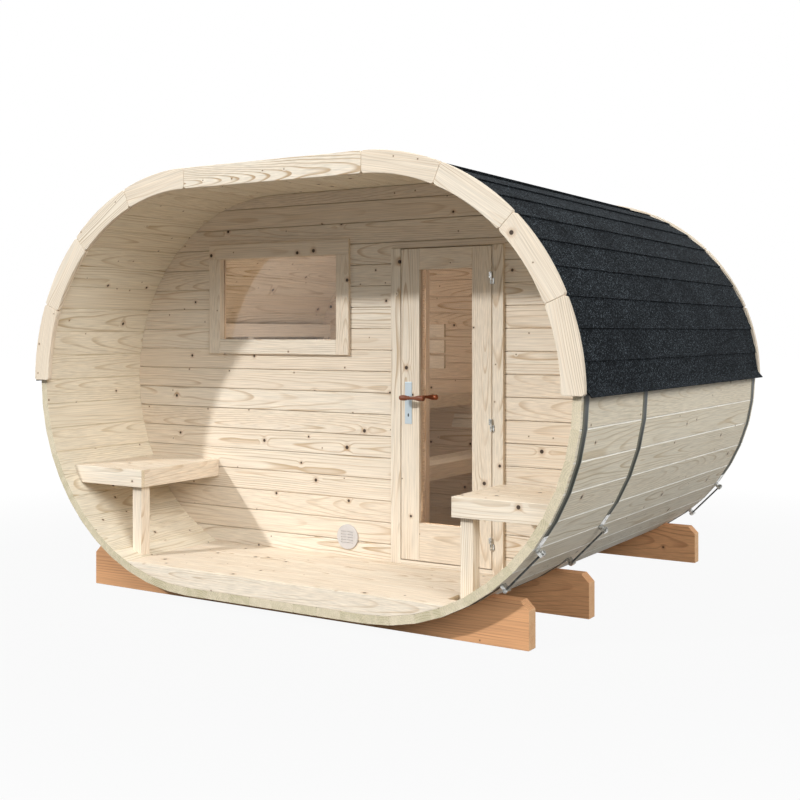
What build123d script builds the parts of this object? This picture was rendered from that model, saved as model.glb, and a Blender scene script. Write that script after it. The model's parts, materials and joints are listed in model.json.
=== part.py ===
from build123d import *
import math
import os

# Barrel: flat staves in a stadium outline, width along X, front at low Y, ground at Z = 0
stave_length = 2890.0
flat_width = 1180.0
shell_radius = 1176.0
stave_thickness = 45.0
stave_gap = 0.4
stave_ease = 4.0
staves_per_quarter = 12
staves_per_flat = 8
seat_clearance = 0.3
cut_overrun = 20.0

# Arch trim over the stave ends of the upper half, in segments
trim_overhang = 24.0
trim_width = 116.0
trim_thickness = 30.0
trim_gap = 1.0
trim_ease = 10.0
trim_segments_per_quarter = 4

# Roof covering with an out-turned eave
roof_thickness = 6.0
eave_height = 45.0
eave_throw = 42.0
eave_drop = 12.0

# Steel bands, each closed by a threaded rod between two lugs
band_width = 60.0
band_thickness = 2.0
band_end_offset = 25.0
band_past_wall = 6.0
upper_lug_steps = 5.05
lower_lug_steps = 6.7
lug_thickness = 16.0
lug_width = 40.0
lug_height = 42.0
rod_diameter = 10.0
rod_standoff = 30.0
rod_overhang = 22.0
nut_diameter = 22.0
nut_length = 10.0
nut_sides = 6

# Cradles under the barrel
ground_clearance = 49.0
cradle_reach = 850.0
cradle_height = 235.0
cradle_thickness = 75.0
cradle_chamfer = 45.0
cradle_front_offset = 132.0
cradle_past_wall = 78.0
cradle_rear_inset = 175.0

# Walls and floors
terrace_depth = 786.0
wall_thickness = 45.0
rear_wall_inset = 60.0
floor_rise = 101.0
floor_thickness = 28.0
fascia_thickness = 20.0

# Doorway, its frame and the leaf
door_floor_inset = 74.5
door_frame_width = 719.0
door_head_drop = 365.0
jamb_width = 66.0
frame_proud = 18.0
door_clearance = 5.0
stop_width = 14.0
threshold_height = 24.0
leaf_thickness = 40.0
stile_width = 120.0
top_rail_height = 119.0
bottom_rail_height = 213.0
door_glass_thickness = 8.0
glass_edge = 12.0

# Hinges
top_hinge_drop = 143.0
bottom_hinge_rise = 172.0
hinge_shares = (0.0, 0.554, 1.0)
hinge_height = 66.0
hinge_gap = 1.0
knuckle_diameter = 14.0
flag_width = 16.0
flag_thickness = 2.5

# Lock plates and the turned lever handles
plate_width = 46.0
plate_height = 238.0
plate_thickness = 3.0
plate_inset = 26.0
lever_rise = 949.0
lever_below_plate_top = 88.0
spindle_side = 8.0
spindle_clearance = 1.0
neck_diameter = 18.0
neck_clearance = 0.5
lever_standoff = 52.0
lever_length = 136.0
lever_tail = 26.0
lever_knob_radius = 14.0
lever_knob_flat = 10.0
lever_waist_radius = 9.0
lever_grip_radius = 15.0
lever_ease = 4.0
knob_share = 0.14
waist_shares = (0.2, 0.44)
grip_share = 0.58

# Window in the front wall
window_shell_inset = 621.0
window_door_gap = 293.0
window_head_drop = 293.0
window_height = 683.0
window_member = 90.0
window_glass_thickness = 6.0
window_glass_setback = 24.0

# Round vent cover low on the front wall
vent_door_gap = 308.0
vent_rise = 116.0
vent_diameter = 147.0
vent_thickness = 10.0
vent_ease = 3.0
slot_length = 38.0
slot_height = 5.0
slot_depth = 5.0
slot_spread = 46.0
slot_pitch = 16.0
slot_columns = 2
slot_rows = 5

# Terrace seats
seat_rise = 514.0
seat_front_offset = 101.0
right_seat_wall_gap = 145.0
apron_height = 102.0
apron_thickness = 26.0
slat_thickness = 28.0
slat_gap = 8.0
seat_slats = 4
post_width = 70.0
post_inset = 33.0
post_floor_gap = 11.5
notch_reach = 75.0
notch_depth = 120.0

# Benches, headrest and boarded screen inside
upper_bench_rise = 869.0
upper_apron_height = 84.0
lower_bench_step = 360.0
bench_screen_gap = 133.0
lower_bench_rise = 464.0
lower_apron_height = 98.0
bench_board_width = 120.0
bench_gap = 12.0
headrest_length = 660.0
headrest_front_gap = 220.0
headrest_rise = 511.0
headrest_board_height = 98.0
headrest_gap = 20.0
headrest_boards = 3
headrest_thickness = 22.0
low_rest_length = 520.0
low_rest_rise = 246.0
low_rest_strip = 27.0
low_rest_gap = 9.0
low_rest_board = 64.0
low_rest_slant = 27.0
backrest_rise = 513.0
backrest_board_height = 97.0
backrest_wall_gap = 60.0
backrest_batten_width = 60.0
backrest_battens = 3
screen_door_gap = 70.0
screen_thickness = 33.0
screen_length = 440.0
screen_post_width = 47.0

# Places worked out from the sizes above
quarter_turn = 90
half_flat = flat_width / 2
inner_radius = shell_radius - stave_thickness
lining_radius = inner_radius - seat_clearance
trim_radius = shell_radius + trim_overhang
side_x = half_flat + inner_radius
reach_x = half_flat + shell_radius
axis_z = ground_clearance + shell_radius
roof_z = axis_z + shell_radius
ceiling_z = axis_z + inner_radius
cradle_length = flat_width + 2 * cradle_reach
overall_length = stave_length + 2 * trim_thickness
front_y = -overall_length / 2
stave_front_y = front_y + trim_thickness
stave_rear_y = stave_front_y + stave_length
fascia_back_y = stave_front_y + fascia_thickness
front_wall_y = stave_front_y + terrace_depth
room_front_y = front_wall_y + wall_thickness
rear_wall_y = stave_rear_y - rear_wall_inset
room_rear_y = rear_wall_y - wall_thickness
floor_z = axis_z - inner_radius + floor_rise
floor_edge_x = half_flat + math.sqrt(lining_radius**2 - (axis_z - floor_z) ** 2)
door_frame_right = floor_edge_x - door_floor_inset
door_frame_left = door_frame_right - door_frame_width
door_top_z = ceiling_z - door_head_drop
frame_y = front_wall_y - frame_proud
leaf_back_y = frame_y + leaf_thickness
leaf_left = door_frame_left + jamb_width + door_clearance
leaf_right = door_frame_right - jamb_width - door_clearance
leaf_top = door_top_z - door_clearance
leaf_bottom = floor_z + threshold_height + door_clearance
hinge_x = leaf_right + door_clearance / 2
hinge_y = frame_y - knuckle_diameter / 2
lever_x = leaf_left + plate_inset + plate_width / 2
lever_z = floor_z + lever_rise
window_left = window_shell_inset - side_x
window_right = door_frame_left - window_door_gap
window_top_z = ceiling_z - window_head_drop
window_low_z = window_top_z - window_height
window_glass_y = front_wall_y + window_glass_setback + window_glass_thickness / 2
seat_inner_x = floor_edge_x + post_floor_gap - post_inset
seat_top_z = floor_z + seat_rise
screen_x = door_frame_left - screen_door_gap
lower_bench_front_x = screen_x - bench_screen_gap
upper_bench_front_x = lower_bench_front_x - lower_bench_step


def slab(x0, x1, y0, y1, z0, z1):
    """A box between two corners."""
    box = Box(x1 - x0, y1 - y0, z1 - z0, align=(Align.MIN, Align.MIN, Align.MIN))
    return Pos(x0, y0, z0) * box


def across(face, y0, y1):
    """A face drawn about the barrel's axis, given its depth along the barrel."""
    plane = Plane(origin=(0, y1, axis_z), x_dir=(1, 0, 0), z_dir=(0, -1, 0))
    return extrude(plane * face, amount=y1 - y0)


def barrel_corners():
    """Arc centre and angle of every joint between staves, once round from the bottom right."""
    turn = quarter_turn / staves_per_quarter
    pitch = flat_width / staves_per_flat
    arc_steps = range(2 * staves_per_quarter)
    flat_steps = range(staves_per_flat)
    right = [(half_flat, turn * k - quarter_turn) for k in arc_steps]
    top = [(half_flat - pitch * k, quarter_turn) for k in flat_steps]
    left = [(-half_flat, turn * k + quarter_turn) for k in arc_steps]
    bottom = [(pitch * k - half_flat, -quarter_turn) for k in flat_steps]
    return right + top + left + bottom


corners = barrel_corners()
quarter = staves_per_quarter


def joint_point(index, radius):
    """Point of one stave joint at a radius from its arc centre."""
    centre, angle = corners[index % len(corners)]
    return Vector(centre + radius * math.cos(math.radians(angle)), radius * math.sin(math.radians(angle)))


def rim_point(index, radius):
    """Point of the rim at a stave joint, or part of the way from it to the next one."""
    step = math.floor(index)
    start = joint_point(step, radius)
    return start + (joint_point(step + 1, radius) - start) * (index - step)


def outline(radius):
    """Face of the whole stadium at one radius, with a straight side for every stave."""
    return make_face(Polyline(*[rim_point(k, radius) for k in range(len(corners))], close=True))


def rim_strip(first, last, inner, outer):
    """Face of the strip between two radii that follows the staves from one place on the rim to another."""
    steps = [first, *range(math.floor(first) + 1, math.ceil(last)), last]
    points = [rim_point(k, outer) for k in steps] + [rim_point(k, inner) for k in reversed(steps)]
    return make_face(Polyline(*points, close=True))


def stave(index):
    """One stave with eased edges, its share of the joint gap taken off both sides."""
    a, b = rim_point(index, shell_radius), rim_point(index + 1, shell_radius)
    c, d = rim_point(index + 1, inner_radius), rim_point(index, inner_radius)
    edge = (b - a).normalized() * (stave_gap / 2)
    face = Sketch() + make_face(Polyline(a + edge, b - edge, c - edge, d + edge, close=True))
    return across(chamfer(face.vertices(), stave_ease), stave_front_y, stave_rear_y)


def staves(first, count):
    """A run of neighbouring staves."""
    return Compound([stave(k) for k in range(first, first + count)])


def trim_segment(centre, start, y0):
    """One curved piece of the arch trim, from an angle on."""
    sweep = quarter_turn / trim_segments_per_quarter
    margin = math.degrees(trim_gap / 2 / trim_radius)
    outer = CenterArc((centre, 0), trim_radius, start + margin, sweep - 2 * margin)
    inner = CenterArc((centre, 0), trim_radius - trim_width, start + margin, sweep - 2 * margin)
    ends = [Line(outer @ 1, inner @ 1), Line(inner @ 0, outer @ 0)]
    face = Sketch() + make_face([outer, inner, *ends])
    return across(chamfer(face.vertices(), trim_ease), y0, y0 + trim_thickness)


def arch_trim(y0):
    """The trim of one end: curved pieces up both sides and a straight one on top."""
    sweep = quarter_turn / trim_segments_per_quarter
    steps = range(trim_segments_per_quarter)
    curved = [trim_segment(half_flat, sweep * k, y0) for k in steps]
    curved += [trim_segment(-half_flat, quarter_turn + sweep * k, y0) for k in steps]
    middle = Pos(0, trim_radius - trim_width / 2) * Rectangle(flat_width - trim_gap, trim_width)
    return Compound(curved + [across(chamfer(middle.vertices(), trim_ease), y0, y0 + trim_thickness)])


def roof_cover():
    """The covering over the upper half, turned out along both eaves."""
    inner = shell_radius + band_thickness
    outer = inner + roof_thickness
    steps = range(quarter + 1, 3 * quarter + staves_per_flat)
    over = [rim_point(k, outer) for k in steps]
    under = [rim_point(k, inner) for k in reversed(steps)]
    reach = half_flat + eave_throw
    foot = -eave_drop
    left_lip = [Vector(-half_flat - outer, eave_height)]
    left_lip += [Vector(-reach - outer, foot), Vector(-reach - inner, foot)]
    right_lip = [Vector(half_flat + inner, eave_height)]
    right_lip += [Vector(reach + inner, foot), Vector(reach + outer, foot)]
    left_turn = [Vector(-half_flat - inner, eave_height)]
    right_turn = [Vector(half_flat + outer, eave_height)]
    points = over + left_lip + left_turn + under + right_lip + right_turn
    return across(make_face(Polyline(*points, close=True)), stave_front_y, stave_rear_y)


def radial_plane(point, towards):
    """Plane at a point of the rim, with its X axis along the rod and its Y axis along the barrel."""
    return Plane(origin=point, x_dir=towards, z_dir=towards.cross(Vector(0, 1, 0)))


def band(y0):
    """A steel band round the staves with its lugs, rod and nuts at the lower right."""
    upper = quarter - upper_lug_steps
    lower = quarter - lower_lug_steps
    strip = rim_strip(upper, lower + len(corners), shell_radius, shell_radius + band_thickness)
    loop = across(strip, y0, y0 + band_width)
    y = y0 + band_width / 2
    foot = [rim_point(k, shell_radius + band_thickness + lug_height / 2) for k in (upper, lower)]
    rise = [rim_point(k, shell_radius + rod_standoff) for k in (upper, lower)]
    foot = [Vector(p.X, y, axis_z + p.Y) for p in foot]
    rise = [Vector(p.X, y, axis_z + p.Y) for p in rise]
    run = (rise[1] - rise[0]).normalized()
    start = rise[0] - run * rod_overhang
    rod_length = (rise[1] - start).length + rod_overhang
    rod = extrude(Plane(origin=start, z_dir=run) * Circle(rod_diameter / 2), amount=rod_length)
    pieces = [loop, rod]
    for place, end, away in ((foot[0], rise[0], -run), (foot[1], rise[1], run)):
        pieces.append(radial_plane(place, run) * Box(lug_thickness, lug_width, lug_height))
        nut = RegularPolygon(nut_diameter / 2, nut_sides)
        seat = Plane(origin=end + away * (lug_thickness / 2), z_dir=away)
        pieces.append(extrude(seat * nut, amount=nut_length))
    return Part() + pieces


def cradle(offset):
    """A plank on edge, hollowed to the barrel, with its upper ends cut off at a slant."""
    middle = -axis_z + cradle_height / 2
    plank = Pos(0, middle) * Rectangle(cradle_length, cradle_height)
    plank = chamfer(plank.vertices().group_by(Axis.Y)[-1], cradle_chamfer)
    face = plank - outline(shell_radius + seat_clearance)
    y0 = stave_front_y + offset
    return across(face, y0, y0 + cradle_thickness)


def lining(x0, x1, z0, z1, y0, y1):
    """A flat piece between X and height limits, trimmed to the inside of the staves."""
    window = Pos((x0 + x1) / 2, (z0 + z1) / 2 - axis_z) * Rectangle(x1 - x0, z1 - z0)
    return across(outline(lining_radius) & window, y0, y1)


def wall_panel(x0, x1, z0, z1):
    """A piece of the front wall."""
    return lining(x0, x1, z0, z1, front_wall_y, room_front_y)


def floor_deck(y0, y1):
    """Floor boards from side to side over part of the barrel."""
    return lining(-reach_x, reach_x, floor_z - floor_thickness, floor_z, y0, y1)


def terrace_floor():
    """The terrace's boards behind the fascia, notched beside the post of the right seat."""
    deck = floor_deck(fascia_back_y, front_wall_y)
    left = floor_edge_x + post_floor_gap - notch_reach
    front = stave_front_y + seat_front_offset + post_inset
    notch = slab(left, reach_x, front, front + notch_depth, floor_z - floor_thickness, floor_z)
    return (deck - notch).solid()


def pane(x0, x1, z0, z1, y, thickness, edge):
    """A sheet over an opening, centred at a depth, with its edges reaching into the frame."""
    return slab(x0 - edge, x1 + edge, y - thickness / 2, y + thickness / 2, z0 - edge, z1 + edge)


def window_pane(spare):
    """The window's glass, or with some spare the groove that it stands in."""
    left, right = window_left + window_member, window_right - window_member
    low, high = window_low_z + window_member, window_top_z - window_member
    thickness = window_glass_thickness + 2 * spare
    return pane(left, right, low, high, window_glass_y, thickness, glass_edge + spare)


def window_frame():
    """Four grooved boards round the window: one across the top, two upright and one between them."""
    y0, y1 = frame_y, room_front_y
    left, right = window_left + window_member, window_right - window_member
    head_z, sill_z = window_top_z - window_member, window_low_z + window_member
    boards = [slab(window_left, window_right, y0, y1, head_z, window_top_z)]
    boards.append(slab(left + stave_gap, right - stave_gap, y0, y1, window_low_z, sill_z))
    for x0, x1 in ((window_left, left), (right, window_right)):
        boards.append(slab(x0, x1, y0, y1, window_low_z, head_z - stave_gap))
    groove = window_pane(seat_clearance)
    return Compound([(board - groove).solid() for board in boards])


def door_stops():
    """Strips behind the leaf on both jambs and over its head."""
    y0, y1 = leaf_back_y + door_clearance, room_front_y
    left, right = door_frame_left + jamb_width, door_frame_right - jamb_width
    low, high = floor_z + threshold_height, door_top_z
    head = slab(left, right, y0, y1, high - stop_width - door_clearance, high)
    sides = [slab(left, left + stop_width, y0, y1, low, high - stop_width - door_clearance - stave_gap)]
    sides.append(slab(right - stop_width, right, y0, y1, low, high - stop_width - door_clearance - stave_gap))
    return Compound(sides + [head])


def spindle_bore():
    """Cutter for the spindle's way through the lock side of the leaf."""
    bore = Circle(spindle_side / math.sqrt(2) + spindle_clearance / 2)
    plane = Plane(origin=(lever_x, leaf_back_y + cut_overrun, lever_z), z_dir=(0, -1, 0))
    return extrude(plane * bore, amount=leaf_thickness + 2 * cut_overrun)


def door_pane(spare):
    """The leaf's glass, or with some spare the groove that it stands in."""
    left, right = leaf_left + stile_width, leaf_right - stile_width
    low, high = leaf_bottom + bottom_rail_height, leaf_top - top_rail_height
    middle = (frame_y + leaf_back_y) / 2
    return pane(left, right, low, high, middle, door_glass_thickness + 2 * spare, glass_edge + spare)


def door_stiles():
    """The two grooved upright members of the leaf, the left one bored for the spindle."""
    groove = door_pane(seat_clearance)
    left = slab(leaf_left, leaf_left + stile_width, frame_y, leaf_back_y, leaf_bottom, leaf_top)
    right = slab(leaf_right - stile_width, leaf_right, frame_y, leaf_back_y, leaf_bottom, leaf_top)
    return Compound([(left - groove - spindle_bore()).solid(), (right - groove).solid()])


def door_rails():
    """The grooved top and bottom members of the leaf between its stiles."""
    groove = door_pane(seat_clearance)
    x0, x1 = leaf_left + stile_width, leaf_right - stile_width
    top = slab(x0, x1, frame_y, leaf_back_y, leaf_top - top_rail_height, leaf_top)
    bottom = slab(x0, x1, frame_y, leaf_back_y, leaf_bottom, leaf_bottom + bottom_rail_height)
    return Compound([(rail - groove).solid() for rail in (top, bottom)])


def lock_plates():
    """Long plates on both faces of the leaf, bored for the spindle."""
    x0, top = leaf_left + plate_inset, lever_z + lever_below_plate_top
    outer = slab(x0, x0 + plate_width, frame_y - plate_thickness, frame_y, top - plate_height, top)
    inner = slab(x0, x0 + plate_width, leaf_back_y, leaf_back_y + plate_thickness, top - plate_height, top)
    return Compound([(plate - spindle_bore()).solid() for plate in (outer, inner)])


def turned_lever(outside):
    """A lathe-turned lever with its neck, on one side of the leaf."""
    away = -1 if outside else 1
    face_y = frame_y - plate_thickness if outside else leaf_back_y + plate_thickness
    y = face_y + away * lever_standoff
    knob_end = lever_length * knob_share
    profile = Polyline(
        (-lever_tail, 0),
        (-lever_tail, lever_knob_radius),
        (knob_end, lever_knob_radius),
        (lever_length * waist_shares[0], lever_waist_radius),
        (lever_length * waist_shares[1], lever_waist_radius),
        (lever_length * grip_share, lever_grip_radius),
        (lever_length - lever_ease, lever_grip_radius),
        (lever_length, lever_grip_radius - lever_ease),
        (lever_length, 0),
        close=True,
    )
    grip = revolve(make_face(profile), Axis.X)
    flat_back = Box(2 * knob_end, lever_knob_radius, 2 * lever_knob_radius)
    grip -= Pos(0, -away * (lever_knob_flat + lever_knob_radius / 2), 0) * flat_back
    start = face_y + away * neck_clearance
    neck_plane = Plane(origin=(lever_x, start, lever_z), z_dir=(0, away, 0))
    neck_length = lever_standoff - neck_clearance - lever_knob_flat
    neck = extrude(neck_plane * Circle(neck_diameter / 2), amount=neck_length)
    return Pos(lever_x, y, lever_z) * grip + neck


def door_lever():
    """Both levers on their common spindle."""
    back = leaf_back_y + plate_thickness + lever_standoff
    plane = Plane(origin=(lever_x, back, lever_z), z_dir=(0, -1, 0))
    length = leaf_thickness + 2 * plate_thickness + 2 * lever_standoff
    spindle = extrude(plane * Rectangle(spindle_side, spindle_side), amount=length)
    return Part() + [turned_lever(True), turned_lever(False), spindle]


def knuckle(top, height):
    """A length of hinge barrel at the pin."""
    plane = Plane(origin=(hinge_x, hinge_y, top - height), z_dir=(0, 0, 1))
    return extrude(plane * Circle(knuckle_diameter / 2), amount=height)


def hinge_halves(on_leaf):
    """Barrels and flags of the three hinges: the upper halves on the leaf, the lower ones on the jamb."""
    half = (hinge_height - hinge_gap) / 2
    run = leaf_top - leaf_bottom - top_hinge_drop - bottom_hinge_rise
    pieces = []
    for share in hinge_shares:
        top = leaf_top - top_hinge_drop - run * share
        high = top if on_leaf else top - half - hinge_gap
        inward = -1 if on_leaf else 1
        edges = sorted((hinge_x + inward * door_clearance / 2, hinge_x + inward * flag_width))
        reach = sorted((hinge_x, hinge_x + inward * flag_width))
        flag = slab(*edges, frame_y - flag_thickness, frame_y, high - half, high)
        web = slab(*reach, frame_y - 2 * flag_thickness, frame_y - flag_thickness, high - half, high)
        pieces.append((Part() + [knuckle(high, half), web, flag]).solid())
    return Compound(pieces)


def vent_cover():
    """A round cover on the front wall with an eased rim and two columns of slots."""
    centre = Vector(door_frame_left - vent_door_gap, front_wall_y, floor_z + vent_rise)
    disc = extrude(Plane(origin=centre, z_dir=(0, -1, 0)) * Circle(vent_diameter / 2), amount=vent_thickness)
    disc = chamfer(disc.edges().group_by(Axis.Y)[0], vent_ease)
    slot = Box(slot_length, slot_depth * 2, slot_height)
    face = Plane(origin=centre - Vector(0, vent_thickness, 0), x_dir=(1, 0, 0), z_dir=(0, -1, 0))
    for place in GridLocations(slot_spread, slot_pitch, slot_columns, slot_rows):
        disc -= Pos(*(face * place).position) * slot
    return disc


def seat_span(side):
    """Depth limits of a terrace seat: the left one reaches the wall, the right one leaves the door room."""
    y0 = stave_front_y + seat_front_offset
    return (y0, front_wall_y) if side < 0 else (y0, front_wall_y - right_seat_wall_gap)


def side_limits(side, near, far):
    """X limits on one side of the middle, in rising order."""
    return sorted((side * near, side * far))


def seat_aprons(side):
    """Front and inner side boards of a terrace seat."""
    y0, y1 = seat_span(side)
    low = seat_top_z - apron_height
    limits = side_limits(side, seat_inner_x, reach_x)
    front = lining(*limits, low, seat_top_z, y0, y0 + apron_thickness)
    edge = side_limits(side, seat_inner_x, seat_inner_x + apron_thickness)
    inner = slab(*edge, y0 + apron_thickness + stave_gap, y1, low, seat_top_z)
    return Compound([front.solid(), inner])


def seat_slat_set(side):
    """Slats of a terrace seat between its inner apron and the staves."""
    y0, y1 = seat_span(side)
    start = y0 + apron_thickness
    pitch = (y1 - start) / seat_slats
    limits = side_limits(side, seat_inner_x + apron_thickness, reach_x)
    slats = []
    for k in range(seat_slats):
        low = start + pitch * k + (slat_gap if k else 0)
        high = start + pitch * (k + 1)
        slats.append(lining(*limits, seat_top_z - slat_thickness, seat_top_z, low, high).solid())
    return Compound(slats)


def seat_post(side):
    """Post under the inner front corner of a terrace seat, cut to the staves below."""
    y0 = seat_span(side)[0] + post_inset
    near = seat_inner_x + post_inset
    top = seat_top_z - slat_thickness
    return lining(*side_limits(side, near, near + post_width), 0, top, y0, y0 + post_width)


def clear_half_width(z0, z1):
    """Half of the width that is clear of the staves between two heights."""
    flat_radius = lining_radius * math.cos(math.radians(quarter_turn / staves_per_quarter / 2))
    return half_flat + math.sqrt(flat_radius**2 - max(abs(z0 - axis_z), abs(z1 - axis_z)) ** 2)


def room_bench(x0, x1, rise, apron):
    """Boards along the room with a front apron, from the front wall to the rear wall."""
    top = floor_z + rise
    front = slab(x1 - apron_thickness, x1, room_front_y, room_rear_y, top - apron, top)
    boards = [front]
    low = top - slat_thickness
    right = x1 - apron_thickness - stave_gap
    while right - bench_board_width > x0:
        boards.append(slab(right - bench_board_width, right, room_front_y, room_rear_y, low, top))
        right -= bench_board_width + bench_gap
    return Compound(boards)


def headrest():
    """Level boards on the rear wall over the end of the upper bench."""
    top = upper_bench_z + headrest_rise
    right = upper_bench_front_x - headrest_front_gap
    left = right - headrest_length
    boards = []
    for k in range(headrest_boards):
        high = top - (headrest_board_height + headrest_gap) * k
        low = high - headrest_board_height
        boards.append(slab(left, right, room_rear_y - headrest_thickness, room_rear_y, low, high))
    return Compound(boards)


def low_headrest():
    """A narrow and a wider board on the rear wall over the end of the lower bench, slanted at the left."""
    top = floor_z + lower_bench_rise + low_rest_rise
    low = top - low_rest_strip - low_rest_gap - low_rest_board
    right = lower_bench_front_x
    left = right - low_rest_length
    shape = Polyline((left, low), (right, low), (right, top), (left + low_rest_slant, top), close=True)
    wall = Plane(origin=(0, room_rear_y, 0), x_dir=(1, 0, 0), z_dir=(0, -1, 0))
    whole = extrude(wall * make_face(shape), amount=headrest_thickness)
    y0 = room_rear_y - headrest_thickness
    gap = slab(left, right, y0, room_rear_y, low + low_rest_board, top - low_rest_strip)
    return Compound((whole - gap).solids())


def backrest():
    """Level boards along the left staves over the upper bench, on upright battens cut to the staves."""
    top = floor_z + upper_bench_rise + backrest_rise
    low = top - headrest_boards * (backrest_board_height + headrest_gap) + headrest_gap
    x0 = backrest_wall_gap - clear_half_width(axis_z, top)
    x1 = x0 + headrest_thickness
    boards = []
    for k in range(headrest_boards):
        high = top - (backrest_board_height + headrest_gap) * k
        boards.append(slab(x0, x1, room_front_y, room_rear_y, high - backrest_board_height, high))
    run = room_rear_y - room_front_y - backrest_batten_width
    for k in range(backrest_battens):
        y0 = room_front_y + run * k / (backrest_battens - 1)
        boards.append(lining(-reach_x, x0, low, top, y0, y0 + backrest_batten_width).solid())
    return Compound(boards)


def door_screen():
    """Boarded screen inside the front wall beside the doorway, with a post at its free end."""
    end = room_front_y + screen_length
    high = axis_z + lining_radius
    boards = slab(screen_x - screen_thickness, screen_x, room_front_y, end, floor_z, high)
    right = screen_x + (screen_post_width - screen_thickness) / 2
    post = slab(right - screen_post_width, right, end + stave_gap, end + screen_post_width, floor_z, high)
    return Compound([boards, post])


upper_bench_z = floor_z + upper_bench_rise
upper_bench_back_x = -clear_half_width(upper_bench_z - slat_thickness, upper_bench_z)

pieces = {
    "floor_staves": staves(4 * quarter + staves_per_flat, staves_per_flat),
    "right_lower_staves": staves(0, quarter),
    "right_upper_staves": staves(quarter, quarter),
    "top_staves": staves(2 * quarter, staves_per_flat),
    "left_upper_staves": staves(2 * quarter + staves_per_flat, quarter),
    "left_lower_staves": staves(3 * quarter + staves_per_flat, quarter),
    "front_trim": arch_trim(front_y),
    "rear_trim": arch_trim(stave_rear_y),
    "roof_cover": roof_cover(),
    "front_band": band(stave_front_y + band_end_offset),
    "middle_band": band(front_wall_y + band_past_wall),
    "rear_band": band(stave_rear_y - band_end_offset - band_width),
    "front_cradle": cradle(cradle_front_offset),
    "middle_cradle": cradle(terrace_depth + cradle_past_wall),
    "rear_cradle": cradle(stave_length - cradle_rear_inset - cradle_thickness),
    "front_wall_left": wall_panel(-reach_x, window_left, 0, roof_z),
    "front_wall_under_window": wall_panel(window_left, window_right, 0, window_low_z),
    "front_wall_over_window": wall_panel(window_left, window_right, window_top_z, roof_z),
    "front_wall_middle": wall_panel(window_right, door_frame_left, 0, roof_z),
    "front_wall_over_door": wall_panel(door_frame_left, door_frame_right, door_top_z, roof_z),
    "front_wall_under_door": wall_panel(door_frame_left, door_frame_right, 0, floor_z),
    "front_wall_right": wall_panel(door_frame_right, reach_x, 0, roof_z),
    "rear_wall": lining(-reach_x, reach_x, 0, roof_z, room_rear_y, rear_wall_y),
    "terrace_floor": terrace_floor(),
    "room_floor": floor_deck(room_front_y, room_rear_y),
    "terrace_fascia": lining(-reach_x, reach_x, 0, floor_z, stave_front_y, fascia_back_y),
    "door_jambs": Compound([
        slab(door_frame_left, door_frame_left + jamb_width, frame_y, room_front_y, floor_z, door_top_z),
        slab(door_frame_right - jamb_width, door_frame_right, frame_y, room_front_y, floor_z, door_top_z),
    ]),
    "door_stops": door_stops(),
    "door_threshold": slab(
        door_frame_left + jamb_width, door_frame_right - jamb_width,
        frame_y, room_front_y, floor_z, floor_z + threshold_height,
    ),
    "jamb_hinges": hinge_halves(False),
    "leaf_hinges": hinge_halves(True),
    "door_stiles": door_stiles(),
    "door_rails": door_rails(),
    "door_glass": door_pane(0),
    "lock_plates": lock_plates(),
    "door_lever": door_lever(),
    "window_frame": window_frame(),
    "window_glass": window_pane(0),
    "vent_cover": vent_cover(),
    "left_seat_aprons": seat_aprons(-1),
    "left_seat_slats": seat_slat_set(-1),
    "left_seat_post": seat_post(-1),
    "right_seat_aprons": seat_aprons(1),
    "right_seat_slats": seat_slat_set(1),
    "right_seat_post": seat_post(1),
    "upper_bench": room_bench(upper_bench_back_x, upper_bench_front_x, upper_bench_rise, upper_apron_height),
    "lower_bench": room_bench(upper_bench_front_x, lower_bench_front_x, lower_bench_rise, lower_apron_height),
    "headrest": headrest(),
    "low_headrest": low_headrest(),
    "backrest": backrest(),
    "door_screen": door_screen(),
}

os.makedirs("parts", exist_ok=True)
for name, piece in pieces.items():
    export_step(piece, f"parts/{name}.step")
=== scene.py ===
"""Looks of an oval barrel sauna with a covered terrace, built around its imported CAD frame."""

import json
import logging
import math
import random
from dataclasses import dataclass, field, replace
from enum import Enum
from functools import partial
from typing import Callable, Iterable, Sequence, Union

import bmesh
import bpy
from bmesh.types import BMEdge, BMesh, BMFace, BMLayerItem, BMVert
from bpy.types import Material, Node, NodeOutputs, NodeTree, Object
from mathutils import Matrix, Vector


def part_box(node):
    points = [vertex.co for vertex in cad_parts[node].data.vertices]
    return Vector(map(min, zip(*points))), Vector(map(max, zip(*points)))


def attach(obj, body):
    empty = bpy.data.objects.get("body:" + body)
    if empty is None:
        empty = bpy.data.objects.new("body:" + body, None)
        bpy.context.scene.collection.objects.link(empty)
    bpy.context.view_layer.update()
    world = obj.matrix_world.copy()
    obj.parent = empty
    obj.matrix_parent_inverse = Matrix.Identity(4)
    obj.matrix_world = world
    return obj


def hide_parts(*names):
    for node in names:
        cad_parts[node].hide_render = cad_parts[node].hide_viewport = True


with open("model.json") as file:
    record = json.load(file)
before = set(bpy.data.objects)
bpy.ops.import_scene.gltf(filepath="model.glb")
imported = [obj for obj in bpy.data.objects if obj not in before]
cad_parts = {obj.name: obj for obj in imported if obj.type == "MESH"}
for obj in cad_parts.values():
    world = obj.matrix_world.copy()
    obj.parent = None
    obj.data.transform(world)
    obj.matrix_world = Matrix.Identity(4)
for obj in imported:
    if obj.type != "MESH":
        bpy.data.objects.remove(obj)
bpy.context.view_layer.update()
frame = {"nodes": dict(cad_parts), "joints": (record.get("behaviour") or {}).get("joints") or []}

LOG = logging.getLogger("barrel_sauna")

Colour = tuple[float, float, float]
Step = tuple[float, float]
Limits = tuple[float, float, float, float]
Socket = bpy.types.NodeSocket
Value = Union[Socket, float, int, Sequence[float]]
Inputs = dict[Union[str, int], Value]

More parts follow.
